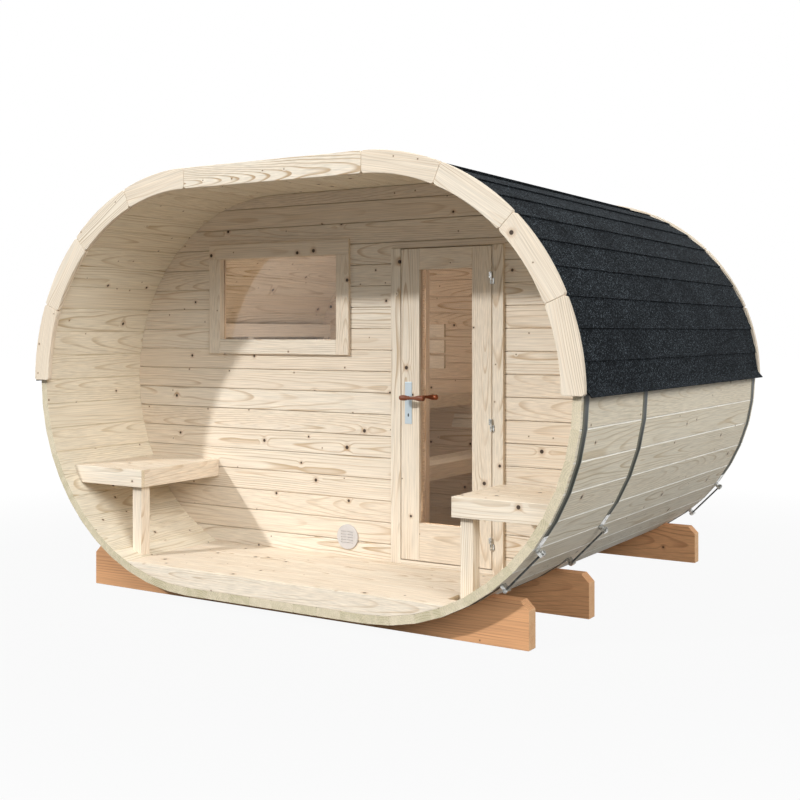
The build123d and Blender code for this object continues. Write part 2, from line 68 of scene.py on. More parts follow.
RIGHT, BACK, UP = Vector((1.0, 0.0, 0.0)), Vector((0.0, 1.0, 0.0)), Vector((0.0, 0.0, 1.0))
WHITE: Colour = (1.0, 1.0, 1.0)

MERGE_DISTANCE = 1e-5
CUT_TOLERANCE = 1e-6
FLAT_ANGLE = 0.01
SHARP_ANGLE = 0.6
PARALLEL = 0.99

TRUNK_LENGTH = 60.0
PITH_ASIDE = 0.05
PITH_DEEPEST = 0.1
PITH_SHALLOWEST = 0.03
GRAIN_LEAN = 0.07
BESIDE_GRAIN = 0.3
END_GRAIN = 0.75

WALL_PITCH = 0.1242
WALL_JOINT = 1.410
FLOOR_PITCH = 0.0985


class Body(Enum):
    """Bodies of the frame that a piece can ride on."""

    CABIN = "cabin"
    DOOR = "door"
    LEVER = "lever"


class Slot(Enum):
    """Material slots of the record. Each timber finish keeps one, which nothing here reads."""

    SPRUCE = "spruce"
    TREATED = "treated_timber"
    DARK_WOOD = "dark_wood"
    FELT = "roof_felt"
    BAND = "band_steel"
    BRIGHT = "bright_steel"
    WHITE_METAL = "white_metal"


class Net:
    """A node tree under construction, with short ways to add nodes and join their sockets."""

    def __init__(self, tree: NodeTree) -> None:
        """Keeps the tree.

        Args:
            tree: Node tree of a material, a world or a node group.
        """
        self.tree = tree

    def node(self, kind: str, inputs: Inputs | None = None, **settings: object) -> Node:
        """Adds a node.

        Args:
            kind: Type name of the node, without the ShaderNode prefix.
            inputs: Values or sockets for its inputs, by name or index.
            **settings: Attributes of the node.

        Returns:
            The new node.
        """
        made = self.tree.nodes.new("ShaderNode" + kind)
        for name, value in settings.items():
            setattr(made, name, value)
        self.fill(made, inputs or {})
        return made

    def fill(self, made: Node, inputs: Inputs) -> None:
        """Joins inputs of a node to other sockets, or sets their constants.

        Args:
            made: The node.
            inputs: Output sockets or constants, by the input's name or index.
        """
        for key, value in inputs.items():
            target = made.inputs[key]
            if isinstance(value, Socket):
                self.tree.links.new(value, target)
            elif isinstance(value, (tuple, list)) and len(value) == 3 and target.type == "RGBA":
                target.default_value = (*value, 1.0)
            else:
                target.default_value = value

    def calc(self, operation: str, a: Value, b: Value = 0.0, c: Value = 0.0) -> Socket:
        """One step of arithmetic.

        Args:
            operation: Name of a Math node operation.
            a: First value.
            b: Second value.
            c: Third value, for operations that take three.

        Returns:
            The result's socket.
        """
        return self.node("Math", {0: a, 1: b, 2: c}, operation=operation).outputs[0]

    def times(self, a: Value, b: Value) -> Socket:
        """Product of two values."""
        return self.calc("MULTIPLY", a, b)

    def blend(self, amount: Value, a: Value, b: Value, mode: str = "MIX") -> Socket:
        """Mixes two colours.

        Args:
            amount: How much of the second colour.
            a: First colour.
            b: Second colour.
            mode: Blend type of the Mix node.

        Returns:
            The mixed colour's socket.
        """
        made = self.node("Mix", data_type="RGBA", blend_type=mode)
        self.fill(made, {0: amount, 6: a, 7: b})
        return made.outputs[2]

    def rise(self, value: Value, low: Value, high: Value) -> Socket:
        """Smooth step from 0 at one value to 1 at another.

        Args:
            value: What is compared.
            low: Where the step starts.
            high: Where the step ends.

        Returns:
            The step's socket.
        """
        made = self.node("MapRange", {0: value, 1: low, 2: high}, interpolation_type="SMOOTHSTEP")
        return made.outputs[0]

    def length(self, vector: Value) -> Socket:
        """Length of a vector."""
        return self.node("VectorMath", {0: vector}, operation="LENGTH").outputs["Value"]

    def noise(self, vector: Value, scale: float, detail: float = 2.0) -> Socket:
        """Noise in cells of equal sides.

        Args:
            vector: Coordinates in metres.
            scale: Cells for each metre.
            detail: Octaves of the noise.

        Returns:
            The noise value's socket.
        """
        return self.node("TexNoise", {"Vector": vector, "Scale": scale, "Detail": detail}).outputs[0]

    def stretched_noise(self, vector: Value, cells: Sequence[float], detail: float = 2.0) -> Socket:
        """Noise with its own scale along each axis.

        Args:
            vector: Coordinates in metres.
            cells: Cells for each metre along the three axes.
            detail: Octaves of the noise.

        Returns:
            The noise value's socket.
        """
        scaled = self.node("VectorMath", {0: vector, 1: tuple(cells)}, operation="MULTIPLY").outputs[0]
        return self.noise(scaled, 1.0, detail)

    def bump(self, height: Socket, strength: float, distance: float) -> Socket:
        """Normals of a fine relief.

        Args:
            height: Height of the relief.
            strength: How far it bends the normals.
            distance: Depth of the relief in metres.

        Returns:
            The normals' socket.
        """
        return self.node("Bump", {"Strength": strength, "Distance": distance, "Height": height}).outputs[0]

    def background_rays(self) -> Socket:
        """Tells the rays that are to meet a white background.

        Returns:
            1 for rays from the camera, off gloss or through glass, and 0 for the rest.
        """
        path = self.node("LightPath").outputs
        seen = self.calc("MAXIMUM", path["Is Camera Ray"], path["Is Glossy Ray"])
        return self.calc("MAXIMUM", seen, path["Is Transmission Ray"])

    def show_mix(self, output: str, share: Socket, first: Node, second: Node) -> None:
        """Sends a mix of two shaders to the tree's output.

        Args:
            output: Name of the output node.
            share: How much of the second shader.
            first: First shader.
            second: Second shader.
        """
        mixed = self.node("MixShader", {0: share, 1: first.outputs[0], 2: second.outputs[0]})
        self.fill(self.tree.nodes[output], {0: mixed.outputs[0]})


def surface(name: str, paint: Callable[[Net, Node], None]) -> Material:
    """A material, made once under its name.

    Args:
        name: Name of the material.
        paint: Lays out its nodes around the Principled shader.

    Returns:
        The material.
    """
    found = bpy.data.materials.get(name)
    if found:
        return found
    material = bpy.data.materials.new(name)
    material.use_nodes = True
    paint(Net(material.node_tree), material.node_tree.nodes["Principled BSDF"])
    return material


class TimberFigure:
    """Node group of the figure in sawn timber: year rings, fibres, streaks and knots."""

    NAME = "timber_figure"
    SETTINGS = ("Ring Width", "Wander", "Knot Spacing", "Knot Size", "Knot Share")
    RESULTS = ("Rings", "Fibre", "Streak", "Knot", "Halo")
    WANDER_CELLS = (1.4, 4.0, 4.0)
    STRENGTH_CELLS = (1.0, 12.0, 12.0)
    FIBRE_CELLS = (3.0, 230.0, 230.0)
    STREAK_CELLS = (0.8, 26.0, 26.0)
    FINE_DETAIL = 3.0
    STRENGTH_STEP = (0.3, 0.62)
    LATE_FROM, LATE_FULL = 0.58, 0.92
    KNOT_RARITY, KNOT_SPREAD, KNOT_LEAST = 3.0, 1.7, 0.6
    CORE_FULL, HALO_FROM, HALO_FULL = 0.7, 2.6, 0.8
    SWIRL_FROM, SWIRL_BULGE = 5.0, 0.7

    @classmethod
    def tree(cls) -> NodeTree:
        """The group's node tree, made once."""
        return bpy.data.node_groups.get(cls.NAME) or cls._make()

    @classmethod
    def _make(cls) -> NodeTree:
        """Builds the group.

        Returns:
            The new node tree.
        """
        tree = bpy.data.node_groups.new(cls.NAME, "ShaderNodeTree")
        tree.interface.new_socket("Grain", in_out="INPUT", socket_type="NodeSocketVector")
        for way, names in (("INPUT", cls.SETTINGS), ("OUTPUT", cls.RESULTS)):
            for name in names:
                tree.interface.new_socket(name, in_out=way, socket_type="NodeSocketFloat")
        net = Net(tree)
        given = tree.nodes.new("NodeGroupInput").outputs
        grain = given["Grain"]
        axes = net.node("SeparateXYZ", {0: grain}).outputs
        reach, size, kept = cls._knots(net, given, axes)
        core = net.rise(reach, size, net.times(size, cls.CORE_FULL))
        halo = net.rise(reach, net.times(size, cls.HALO_FROM), net.times(size, cls.HALO_FULL))
        swirl = net.rise(reach, net.times(size, cls.SWIRL_FROM), 0.0)
        bulge = net.times(net.times(swirl, kept), net.times(size, cls.SWIRL_BULGE))
        net.fill(tree.nodes.new("NodeGroupOutput"), {
            "Rings": cls._rings(net, given, axes, bulge),
            "Fibre": net.stretched_noise(grain, cls.FIBRE_CELLS, cls.FINE_DETAIL),
            "Streak": net.stretched_noise(grain, cls.STREAK_CELLS, cls.FINE_DETAIL),
            "Knot": net.times(core, kept),
            "Halo": net.times(halo, kept),
        })
        return tree

    @classmethod
    def _knots(cls, net: Net, given: NodeOutputs, axes: NodeOutputs) -> tuple[Socket, Socket, Socket]:
        """Scatters knots over the wide face.

        Args:
            net: Net of the group.
            given: The group's inputs.
            axes: The three coordinates of the grain.

        Returns:
            Distance to the nearest knot, its radius, and 1 where it is kept.
        """
        spacing = given["Knot Spacing"]
        flat = net.node("CombineXYZ", {0: axes[0], 1: axes[1]}).outputs[0]
        scale = net.calc("DIVIDE", 1.0, spacing)
        cell = net.node("VectorMath", {0: flat, "Scale": scale}, operation="SCALE").outputs[0]
        spots = net.node("TexVoronoi", {"Vector": cell, "Scale": 1.0}, voronoi_dimensions="2D").outputs
        lot = net.node("SeparateColor", {0: spots["Color"]}).outputs
        kept = net.calc("LESS_THAN", lot[0], given["Knot Share"])
        rare = net.calc("POWER", lot[1], cls.KNOT_RARITY)
        spread = net.calc("MULTIPLY_ADD", rare, cls.KNOT_SPREAD, cls.KNOT_LEAST)
        return net.times(spots["Distance"], spacing), net.times(given["Knot Size"], spread), kept

    @classmethod
    def _rings(cls, net: Net, given: NodeOutputs, axes: NodeOutputs, bulge: Socket) -> Socket:
        """Year rings round the pith, which wander and bend round the knots.

        Args:
            net: Net of the group.
            given: The group's inputs.
            axes: The three coordinates of the grain.
            bulge: How far a knot pushes the rings.

        Returns:
            Strength of the late wood.
        """
        grain = given["Grain"]
        across = net.node("CombineXYZ", {1: axes[1], 2: axes[2]}).outputs[0]
        wander = net.calc("SUBTRACT", net.stretched_noise(grain, cls.WANDER_CELLS), 0.5)
        drift = net.times(wander, given["Wander"])
        bent = net.calc("ADD", net.calc("ADD", net.length(across), drift), bulge)
        phase = net.calc("FRACT", net.calc("DIVIDE", bent, given["Ring Width"]))
        late = net.times(net.rise(phase, cls.LATE_FROM, cls.LATE_FULL), net.rise(phase, 1.0, cls.LATE_FULL))
        return net.times(late, net.rise(net.stretched_noise(grain, cls.STRENGTH_CELLS), *cls.STRENGTH_STEP))


@dataclass(frozen=True)
class TimberFinish:
    """A planed timber surface, with its end grain as a second material."""

    name: str
    slot: Slot
    early: Colour
    late: Colour
    warm: Colour
    knot: Colour
    halo: Colour
    end_early: Colour
    end_late: Colour
    ring_width: float = 0.012
    wander: float = 0.04
    ring_depth: float = 1.0
    knot_spacing: float = 0.17
    knot_size: float = 0.0058
    knot_share: float = 0.5
    knot_cover: float = 0.96
    halo_cover: float = 0.42
    streak_step: Step = (0.42, 0.72)
    streak_cover: float = 0.5
    tone_cover: float = 0.6
    fibre_contrast: float = 0.7
    roughness: float = 0.62
    roughness_spread: float = 0.2
    specular: float = 0.3
    relief_strength: float = 0.25
    relief_depth: float = 0.0005

    def materials(self) -> list[Material]:
        """Materials of the long faces and of the ends."""
        end_paint = partial(self._paint, ends=True)
        return [surface(f"{self.name}_face", self._paint), surface(f"{self.name}_end", end_paint)]

    def _paint(self, net: Net, shader: Node, ends: bool = False) -> None:
        """Lays out one of the two materials.

        Args:
            net: Net of the material.
            shader: Its Principled shader.
            ends: The end grain, or else the long faces.
        """
        tone = net.node("Attribute", attribute_name="tone").outputs["Fac"]
        figure = net.node("Group", node_tree=TimberFigure.tree())
        net.fill(figure, {
            "Grain": net.node("Attribute", attribute_name="grain").outputs["Vector"],
            "Ring Width": self.ring_width, "Wander": self.wander, "Knot Spacing": self.knot_spacing,
            "Knot Size": self.knot_size, "Knot Share": self.knot_share,
        })
        rings, fibre, streak, knot, halo = (figure.outputs[name] for name in TimberFigure.RESULTS)
        early, late = (self.end_early, self.end_late) if ends else (self.early, self.late)
        colour = net.blend(net.times(rings, self.ring_depth), early, late)
        streaks = net.rise(streak, *self.streak_step)
        for warmer in (net.times(streaks, self.streak_cover), net.times(tone, self.tone_cover)):
            colour = net.blend(warmer, colour, self.warm)
        level = net.calc("MULTIPLY_ADD", fibre, -self.fibre_contrast, 1.0 + self.fibre_contrast / 2)
        shade = net.node("CombineColor", {0: level, 1: level, 2: level}).outputs[0]
        colour = net.blend(1.0, colour, shade, "MULTIPLY")
        if not ends:
            colour = net.blend(net.times(halo, self.halo_cover), colour, self.halo)
            colour = net.blend(net.times(knot, self.knot_cover), colour, self.knot)
        smoothest = self.roughness - self.roughness_spread / 2
        net.fill(shader, {
            "Base Color": colour,
            "Roughness": net.calc("MULTIPLY_ADD", fibre, self.roughness_spread, smoothest),
            "Normal": net.bump(net.calc("ADD", rings, fibre), self.relief_strength, self.relief_depth),
            "Specular IOR Level": self.specular,
        })


SPRUCE = TimberFinish(
    name="spruce", slot=Slot.SPRUCE,
    early=(0.80, 0.705, 0.585), late=(0.50, 0.35, 0.21), warm=(0.765, 0.63, 0.49),
    knot=(0.030, 0.015, 0.009), halo=(0.44, 0.25, 0.12),
    end_early=(0.70, 0.59, 0.43), end_late=(0.52, 0.40, 0.26),
)
STAVE_SPRUCE = replace(
    SPRUCE, name="stave_spruce",
    early=(0.79, 0.71, 0.575), late=(0.50, 0.375, 0.225), warm=(0.75, 0.64, 0.49),
    end_early=(0.54, 0.475, 0.32), end_late=(0.37, 0.3, 0.18),
)
# Painted highlight: a paler copy of spruce for the narrow eased faces along the staves' outer joints,
# standing in for the light that they catch.
EDGE_SPRUCE = replace(
    SPRUCE, name="painted_highlight_spruce", early=(0.92, 0.88, 0.80), late=(0.85, 0.79, 0.69), warm=(0.9, 0.84, 0.75),
)
TRIM_SPRUCE = replace(SPRUCE, name="trim_spruce", late=(0.46, 0.31, 0.175), ring_width=0.0095, ring_depth=1.5)
ASPEN = replace(
    SPRUCE, name="aspen", knot_share=0.08,
    early=(0.88, 0.84, 0.76), late=(0.76, 0.68, 0.57), warm=(0.85, 0.79, 0.69),
)
TREATED = TimberFinish(
    name="treated_timber", slot=Slot.TREATED,
    early=(0.69, 0.36, 0.176), late=(0.42, 0.19, 0.085), warm=(0.59, 0.305, 0.15),
    knot=(0.10, 0.04, 0.02), halo=(0.24, 0.10, 0.04),
    end_early=(0.72, 0.44, 0.24), end_late=(0.55, 0.30, 0.15),
    ring_width=0.013, knot_share=0.2,
)
DARK_WOOD = TimberFinish(
    name="dark_wood", slot=Slot.DARK_WOOD,
    early=(0.19, 0.055, 0.024), late=(0.10, 0.026, 0.012), warm=(0.21, 0.064, 0.026),
    knot=(0.05, 0.02, 0.01), halo=(0.15, 0.04, 0.02),
    end_early=(0.25, 0.07, 0.03), end_late=(0.15, 0.04, 0.02),
    ring_width=0.003, wander=0.01, knot_share=0.0, roughness=0.4,
)


@dataclass(frozen=True)
class Finish:
    """A finish that is the same on all faces of a piece."""

    name: str

    def material(self) -> Material:
        """The finish's material, made once."""
        return surface(self.name, self._paint)

    def _paint(self, net: Net, shader: Node) -> None:
        """Lays out the material's nodes.

        Args:
            net: Net of the material.
            shader: Its Principled shader.
        """
        raise NotImplementedError


@dataclass(frozen=True)
class FeltFinish(Finish):
    """Roofing felt with a surface of dark mineral granules."""

    name: str = "mineral_felt"
    dark: Colour = (0.006, 0.0075, 0.009)
    pale: Colour = (0.125, 0.145, 0.165)
    shade: Colour = (0.55, 0.56, 0.58)
    granules_per_metre: float = 250.0
    clumps_per_metre: float = 105.0
    clouds_per_metre: float = 3.5
    granule_step: Step = (0.62, 1.0)
    clump_step: Step = (0.3, 0.62)
    cloud_step: Step = (0.35, 0.8)
    roughness: float = 0.95
    specular: float = 0.08
    relief_strength: float = 0.6
    relief_depth: float = 0.0012

    def _paint(self, net: Net, shader: Node) -> None:
        """Scatters pale granules in clumps, under cloudy shade.

        Args:
            net: Net of the material.
            shader: Its Principled shader.
        """
        place = net.node("TexCoord").outputs["Object"]
        grit = net.node("TexVoronoi", {"Vector": place, "Scale": self.granules_per_metre}).outputs
        lot = net.node("SeparateColor", {0: grit["Color"]}).outputs[0]
        clump = net.rise(net.noise(place, self.clumps_per_metre), *self.clump_step)
        cloud = net.rise(net.noise(place, self.clouds_per_metre), *self.cloud_step)
        colour = net.blend(net.times(net.rise(lot, *self.granule_step), clump), self.dark, self.pale)
        net.fill(shader, {
            "Base Color": net.blend(cloud, colour, self.shade, "MULTIPLY"),
            "Roughness": self.roughness,
            "Specular IOR Level": self.specular,
            "Normal": net.bump(grit["Distance"], self.relief_strength, self.relief_depth),
        })


@dataclass(frozen=True)
class MetalFinish(Finish):
    """A metal, painted or plastic surface with fine brushing and small smudges."""

    colour: Colour
    dull: Colour
    metallic: float
    roughness: float
    brush_cells: Colour = (3.0, 400.0, 400.0)
    smudges_per_metre: float = 9.0
    smudge_detail: float = 4.0
    smudge_step: Step = (0.35, 0.75)
    roughness_spread: float = 0.16
    relief_strength: float = 0.12
    relief_depth: float = 0.0003

    def _paint(self, net: Net, shader: Node) -> None:
        """Brushes and smudges the surface.

        Args:
            net: Net of the material.
            shader: Its Principled shader.
        """
        place = net.node("TexCoord").outputs["Object"]
        lines = net.stretched_noise(place, self.brush_cells)
        smudge = net.noise(place, self.smudges_per_metre, self.smudge_detail)
        uneven, smoothest = net.calc("ADD", lines, smudge), self.roughness - self.roughness_spread
        net.fill(shader, {
            "Base Color": net.blend(net.rise(smudge, *self.smudge_step), self.colour, self.dull),
            "Roughness": net.calc("MULTIPLY_ADD", uneven, self.roughness_spread, smoothest),
            "Metallic": self.metallic,
            "Normal": net.bump(lines, self.relief_strength, self.relief_depth),
        })


ZINC = MetalFinish(
    "zinc_plate", colour=(0.72, 0.72, 0.70), dull=(0.16, 0.16, 0.145), metallic=1.0, roughness=0.26,
    smudges_per_metre=70.0,
)
BLACK_ROD = MetalFinish(
    "black_rod", colour=(0.10, 0.10, 0.095), dull=(0.03, 0.03, 0.028), metallic=0.4, roughness=0.42,
    smudges_per_metre=40.0,
)
SATIN_METAL = MetalFinish(
    "satin_metal", colour=(0.56, 0.63, 0.67), dull=(0.48, 0.55, 0.60), metallic=0.25, roughness=0.32,
)
SATIN_PLASTIC = MetalFinish(
    "satin_plastic", colour=(0.62, 0.58, 0.56), dull=(0.56, 0.52, 0.505), metallic=0.0, roughness=0.45,
    brush_cells=(60.0, 60.0, 60.0),
)
# Painted shade: each keyhole is a thin dark disc on a plate, standing in for the shade inside a hole.
KEYHOLE_SHADE = MetalFinish(
    "keyhole_shade", colour=(0.05, 0.05, 0.055), dull=(0.03, 0.03, 0.035), metallic=0.0, roughness=0.7,
)


@dataclass(frozen=True)
class StripFinish(Finish):
    """Rolled steel strip: pale towards the front as painted light, dark low down behind as a painted
    reflection of the dark ground, and a painted highlight along the rear edge.
    """

    name: str = "rolled_strip"
    # front is painted light. The colour high up is the strip's own. dull is both the smudges' own dark colour
    # and the painted reflection of the dark ground low down. edge is a painted highlight.
    front: Colour = (0.19, 0.18, 0.14)
    strip_high_up: Colour = (0.16, 0.165, 0.17)
    dull: Colour = (0.012, 0.014, 0.006)
    edge: Colour = (0.55, 0.53, 0.46)
    painted_ground_reflection_step: Step = (1.25, 0.88)
    painted_front_light_step: Step = (-0.1, -0.8)
    painted_highlight_step: Step = (0.72, 0.9)
    smudges_per_metre: float = 12.0
    smudge_detail: float = 4.0
    smudge_cover: float = 0.3
    smoothest: float = 0.38
    roughness_spread: float = 0.2
    metallic: float = 0.1
    specular: float = 0.08

    def _paint(self, net: Net, shader: Node) -> None:
        """Paints shade and light into the strip: a painted reflection of the dark ground by its height, and
        painted light and a painted highlight across its width.

        Args:
            net: Net of the material.
            shader: Its Principled shader.
        """
        place = net.node("TexCoord").outputs["Object"]
        height = net.node("SeparateXYZ", {0: place}).outputs[2]
        across = net.node("Attribute", attribute_name="across").outputs["Fac"]
        smudge = net.noise(place, self.smudges_per_metre, self.smudge_detail)
        # Painted reflection of the dark ground low down, painted light towards the front and a painted
        # highlight along the rear edge.
        colour = net.blend(net.rise(height, *self.painted_ground_reflection_step), self.strip_high_up, self.dull)
        colour = net.blend(net.rise(across, *self.painted_front_light_step), colour, self.front)
        colour = net.blend(net.rise(across, *self.painted_highlight_step), colour, self.edge)
        net.fill(shader, {
            "Base Color": net.blend(net.times(smudge, self.smudge_cover), colour, self.dull),
            "Roughness": net.calc("MULTIPLY_ADD", smudge, self.roughness_spread, self.smoothest),
            "Metallic": self.metallic,
            "Specular IOR Level": self.specular,
        })


@dataclass(frozen=True)
class GlassFinish(Finish):
    """Clear float glass with a bronze tint, which lets light through to the room."""

    name: str = "window_pane"
    reflection: float = 1.0
    tint: Colour = (0.90, 0.82, 0.76)
    shadow_tint: Colour = (0.92, 0.8, 0.64)
    haze_per_metre: float = 5.0
    haze_detail: float = 3.0
    haze_lift: float = 1.06
    refraction: float = 1.5

    def _paint(self, net: Net, shader: Node) -> None:
        """Makes the tint a little uneven, and lets the lamps' rays pass.

        Args:
            net: Net of the material.
            shader: Its Principled shader.
        """
        haze = net.noise(net.node("TexCoord").outputs["Object"], self.haze_per_metre, self.haze_detail)
        pale = tuple(min(1.0, part * self.haze_lift) for part in self.tint)
        net.fill(shader, {
            "Base Color": net.blend(haze, self.tint, pale),
            "Transmission Weight": 1.0,
            "Roughness": 0.0,
            "IOR": self.refraction,
            "Specular Tint": (self.reflection, self.reflection, self.reflection),
        })
        clear = net.node("BsdfTransparent", {0: self.shadow_tint})
        net.show_mix("Material Output", net.node("LightPath").outputs["Is Shadow Ray"], shader, clear)


@dataclass(frozen=True)
class Barrel:
    """Main places of the barrel, read from the frame."""

    half_flat: float
    radius: float
    axis_z: float
    front_y: float
    rear_y: float
    staves_per_quarter: int = 12

    @classmethod
    def measured(cls) -> "Barrel":
        """The barrel as the frame's stave nodes give it.

        Returns:
            The barrel's places in metres.
        """
        low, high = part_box("floor_staves"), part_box("top_staves")
        return cls(half_flat=high[1].x, radius=(high[1].z - low[0].z) / 2, axis_z=(high[1].z + low[0].z) / 2,
                   front_y=high[0].y, rear_y=high[1].y)

    def rim(self, side: int, angle: float, radius: float) -> Vector:
        """A point over the rounded side, seen along the barrel.

        Args:
            side: 1 on the right, -1 on the left.
            angle: Degrees above the widest level.
            radius: Distance from the arc's centre.

        Returns:
            The point's X and Z, with Y zero.
        """
        turn = math.radians(angle)
        run, climb = radius * math.cos(turn), radius * math.sin(turn)
        return Vector((side * (self.half_flat + run), 0.0, self.axis_z + climb))

    def outward(self, point: Vector) -> Vector:
        """The way to a point from the strip between the centres of the two arcs.

        Args:
            point: Point of the barrel.

        Returns:
            The way, seen along the barrel.
        """
        centre_x = max(-self.half_flat, min(self.half_flat, point.x))
        return Vector((point.x - centre_x, 0.0, point.z - self.axis_z))


def middle_of(group: Sequence[BMVert]) -> Vector:
    """Mean place of some vertices."""
    return sum((vert.co for vert in group), Vector()) / len(group)


def whole_geometry(bm: BMesh) -> list[Union[BMVert, BMEdge, BMFace]]:
    """All vertices, edges and faces of a mesh."""
    return bm.verts[:] + bm.edges[:] + bm.faces[:]


def grain_layers(bm: BMesh) -> tuple[BMLayerItem, BMLayerItem]:
    """Vertex layers for the grain's coordinates and the board's tone.

    Args:
        bm: Mesh that gets the layers.

    Returns:
        The two layers.
    """
    vectors, floats = bm.verts.layers.float_vector, bm.verts.layers.float
    return vectors.get("grain") or vectors.new("grain"), floats.get("tone") or floats.new("tone")


def copied(node: str) -> BMesh:
    """A copy of a CAD node, with its loose triangles joined and its flat faces made whole.

    Args:
        node: Name of the node.

    Returns:
        The copy's mesh.
    """
    bm = bmesh.new()
    bm.from_mesh(frame["nodes"][node].data)
    bmesh.ops.remove_doubles(bm, verts=bm.verts[:], dist=MERGE_DISTANCE)
    bmesh.ops.dissolve_limit(bm, angle_limit=FLAT_ANGLE, verts=bm.verts[:], edges=bm.edges[:])
    return bm


def append(target: BMesh, source: BMesh) -> None:
    """Adds one mesh to another.

    Args:
        target: Mesh that grows.
        source: Mesh that is added and freed.
    """
    mesh = bpy.data.meshes.new("part")
    source.to_mesh(mesh)
    source.free()
    target.from_mesh(mesh)
    bpy.data.meshes.remove(mesh)


def polyline(points: Iterable[Vector]) -> BMesh:
    """A mesh of one open line.

    Args:
        points: Corners of the line.

    Returns:
        The line's mesh.
    """
    bm = bmesh.new()
    verts = [bm.verts.new(point) for point in points]
    for pair in zip(verts, verts[1:]):
        bm.edges.new(pair)
    return bm


def round_bar(front: float, rear: float, length: float, segments: int) -> BMesh:
    """A round bar along the barrel's length, about the origin.

    Args:
        front: Radius of one end.
        rear: Radius of the other end.
        length: Length of the bar.
        segments: Faces round it.

    Returns:
        The bar's mesh.
    """
    bm = bmesh.new()
    bmesh.ops.create_cone(bm, cap_ends=True, segments=segments, radius1=front, radius2=rear, depth=length,
                          matrix=Matrix.Rotation(math.pi / 2, 4, "X"))
    return bm


def ease_edges(bm: BMesh, width: float, shortest: float = 0.012, segments: int = 2,
               along: Vector | None = None) -> None:
    """Rounds the sharp edges of boards.

    Args:
        bm: Mesh of separate boards.
        width: Width of the rounding.
        shortest: Edges under this length stay sharp.
        segments: Faces across each rounding.
        along: Direction of the edges to round, or None for all.
    """
    sharp = [edge for edge in bm.edges
             if edge.is_manifold and edge.calc_face_angle() > SHARP_ANGLE and edge.calc_length() > shortest]
    if along:
        ways = {edge: (edge.verts[1].co - edge.verts[0].co).normalized() for edge in sharp}
        sharp = [edge for edge in sharp if abs(ways[edge].dot(along)) > PARALLEL]
    bmesh.ops.bevel(bm, geom=sharp, offset=width, offset_type="OFFSET", segments=segments, profile=0.5,
                    affect="EDGES", clamp_overlap=True, material=-1)


def cut_off(bm: BMesh, point: Vector, outward: Vector) -> None:
    """Cuts a convex board at a plane and closes the cut.

    Args:
        bm: Mesh of one board.
        point: Point of the plane.
        outward: Side that is taken away.
    """
    cut = bmesh.ops.bisect_plane(bm, geom=whole_geometry(bm), dist=CUT_TOLERANCE, plane_co=point,
                                 plane_no=outward, clear_outer=True)
    edges = [item for item in cut["geom_cut"] if isinstance(item, BMEdge)]
    if edges:
        bmesh.ops.edgeloop_fill(bm, edges=edges)


def saw_out(bm: BMesh, across: Vector, start: float, end: float) -> None:
    """Cuts a board on both sides.

    Args:
        bm: Mesh of the board.
        across: Direction from one cut to the other.
        start: Place of the first cut.
        end: Place of the second cut.
    """
    cut_off(bm, across * start, -across)
    cut_off(bm, across * end, across)


def row_starts(low: float, high: float, joint: float, pitch: float) -> list[float]:
    """Rows of boards that cover a stretch.

    Args:
        low: Start of the stretch.
        high: End of the stretch.
        joint: Place of one of the joints.
        pitch: Distance from joint to joint.

    Returns:
        Where each row starts.
    """
    first, last = math.floor((low - joint) / pitch), math.ceil((high - joint) / pitch)
    return [joint + step * pitch for step in range(first, last)]


def islands(bm: BMesh) -> list[list[BMVert]]:
    """Connected pieces of a mesh.

    Args:
        bm: Mesh to split up.

    Returns:
        The vertices of each piece.
    """
    seen: set[BMVert] = set()
    found = []
    for start in bm.verts:
        if start in seen:
            continue
        seen.add(start)
        group, waiting = [], [start]
        while waiting:
            vert = waiting.pop()
            group.append(vert)
            near = [edge.other_vert(vert) for edge in vert.link_edges]
            fresh = [other for other in near if other not in seen]
            seen.update(fresh)
            waiting.extend(fresh)
        found.append(group)
    return found


def lay_grain(bm: BMesh, draw: random.Random) -> None:
    """Gives each separate board its own log: grain along its longest edge, a pith and a tone.

    Args:
        bm: Mesh of separate boards.
        draw: Source of the boards' differences.
    """
    grain, tone = grain_layers(bm)
    bm.normal_update()
    for group in islands(bm):
        # Kept in the mesh's order, so that edges of equal length give the same grain in each run.
        edges = dict.fromkeys(edge for vert in group for edge in vert.link_edges)
        faces = dict.fromkeys(face for vert in group for face in vert.link_faces)
        longest = max(edges, key=lambda edge: edge.calc_length())
        along = (longest.verts[1].co - longest.verts[0].co).normalized()
        widest = max(faces, key=lambda face: face.calc_area() * (abs(face.normal.dot(along)) < BESIDE_GRAIN))
        out = (widest.normal - along * widest.normal.dot(along)).normalized()
        side = out.cross(along)
        centre = middle_of(group)
        pith = Vector((draw.uniform(0, TRUNK_LENGTH), draw.uniform(-PITH_ASIDE, PITH_ASIDE),
                       draw.choice((-1, 1)) * draw.uniform(PITH_SHALLOWEST, PITH_DEEPEST)))
        shade = draw.random()
        lean = along * draw.uniform(-GRAIN_LEAN, GRAIN_LEAN)
        for vert in group:
            local = vert.co - centre
            vert[grain] = Vector((local.dot(along), local.dot(side), local.dot(out + lean))) + pith
            vert[tone] = shade
        for face in faces:
            face.material_index = int(abs(face.normal.dot(along)) > END_GRAIN)


def finished(name: str, bm: BMesh, materials: Iterable[Material], body: Body,
             replaced: Iterable[str] = ()) -> Object:
    """Makes a mesh into a piece that rides on a body.

    Args:
        name: Name of the piece.
        bm: Its mesh, which is freed.
        materials: Its materials, in the order of the faces' indices.
        body: The body that carries it.
        replaced: CAD nodes that it stands for.

    Returns:
        The piece's object.
    """
    mesh = bpy.data.meshes.new(name)
    bm.to_mesh(mesh)
    bm.free()
    for material in materials:
        mesh.materials.append(material)
    piece = bpy.data.objects.new(name, mesh)
    bpy.context.scene.collection.objects.link(piece)
    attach(piece, body.value)
    if replaced:
        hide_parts(*replaced)
    return piece


class SubAssembly:
    """Pieces of the sauna that belong together."""

    def build(self) -> list[Object]:
        """Makes the pieces.

        Returns:
            The finished pieces.
        """
        raise NotImplementedError


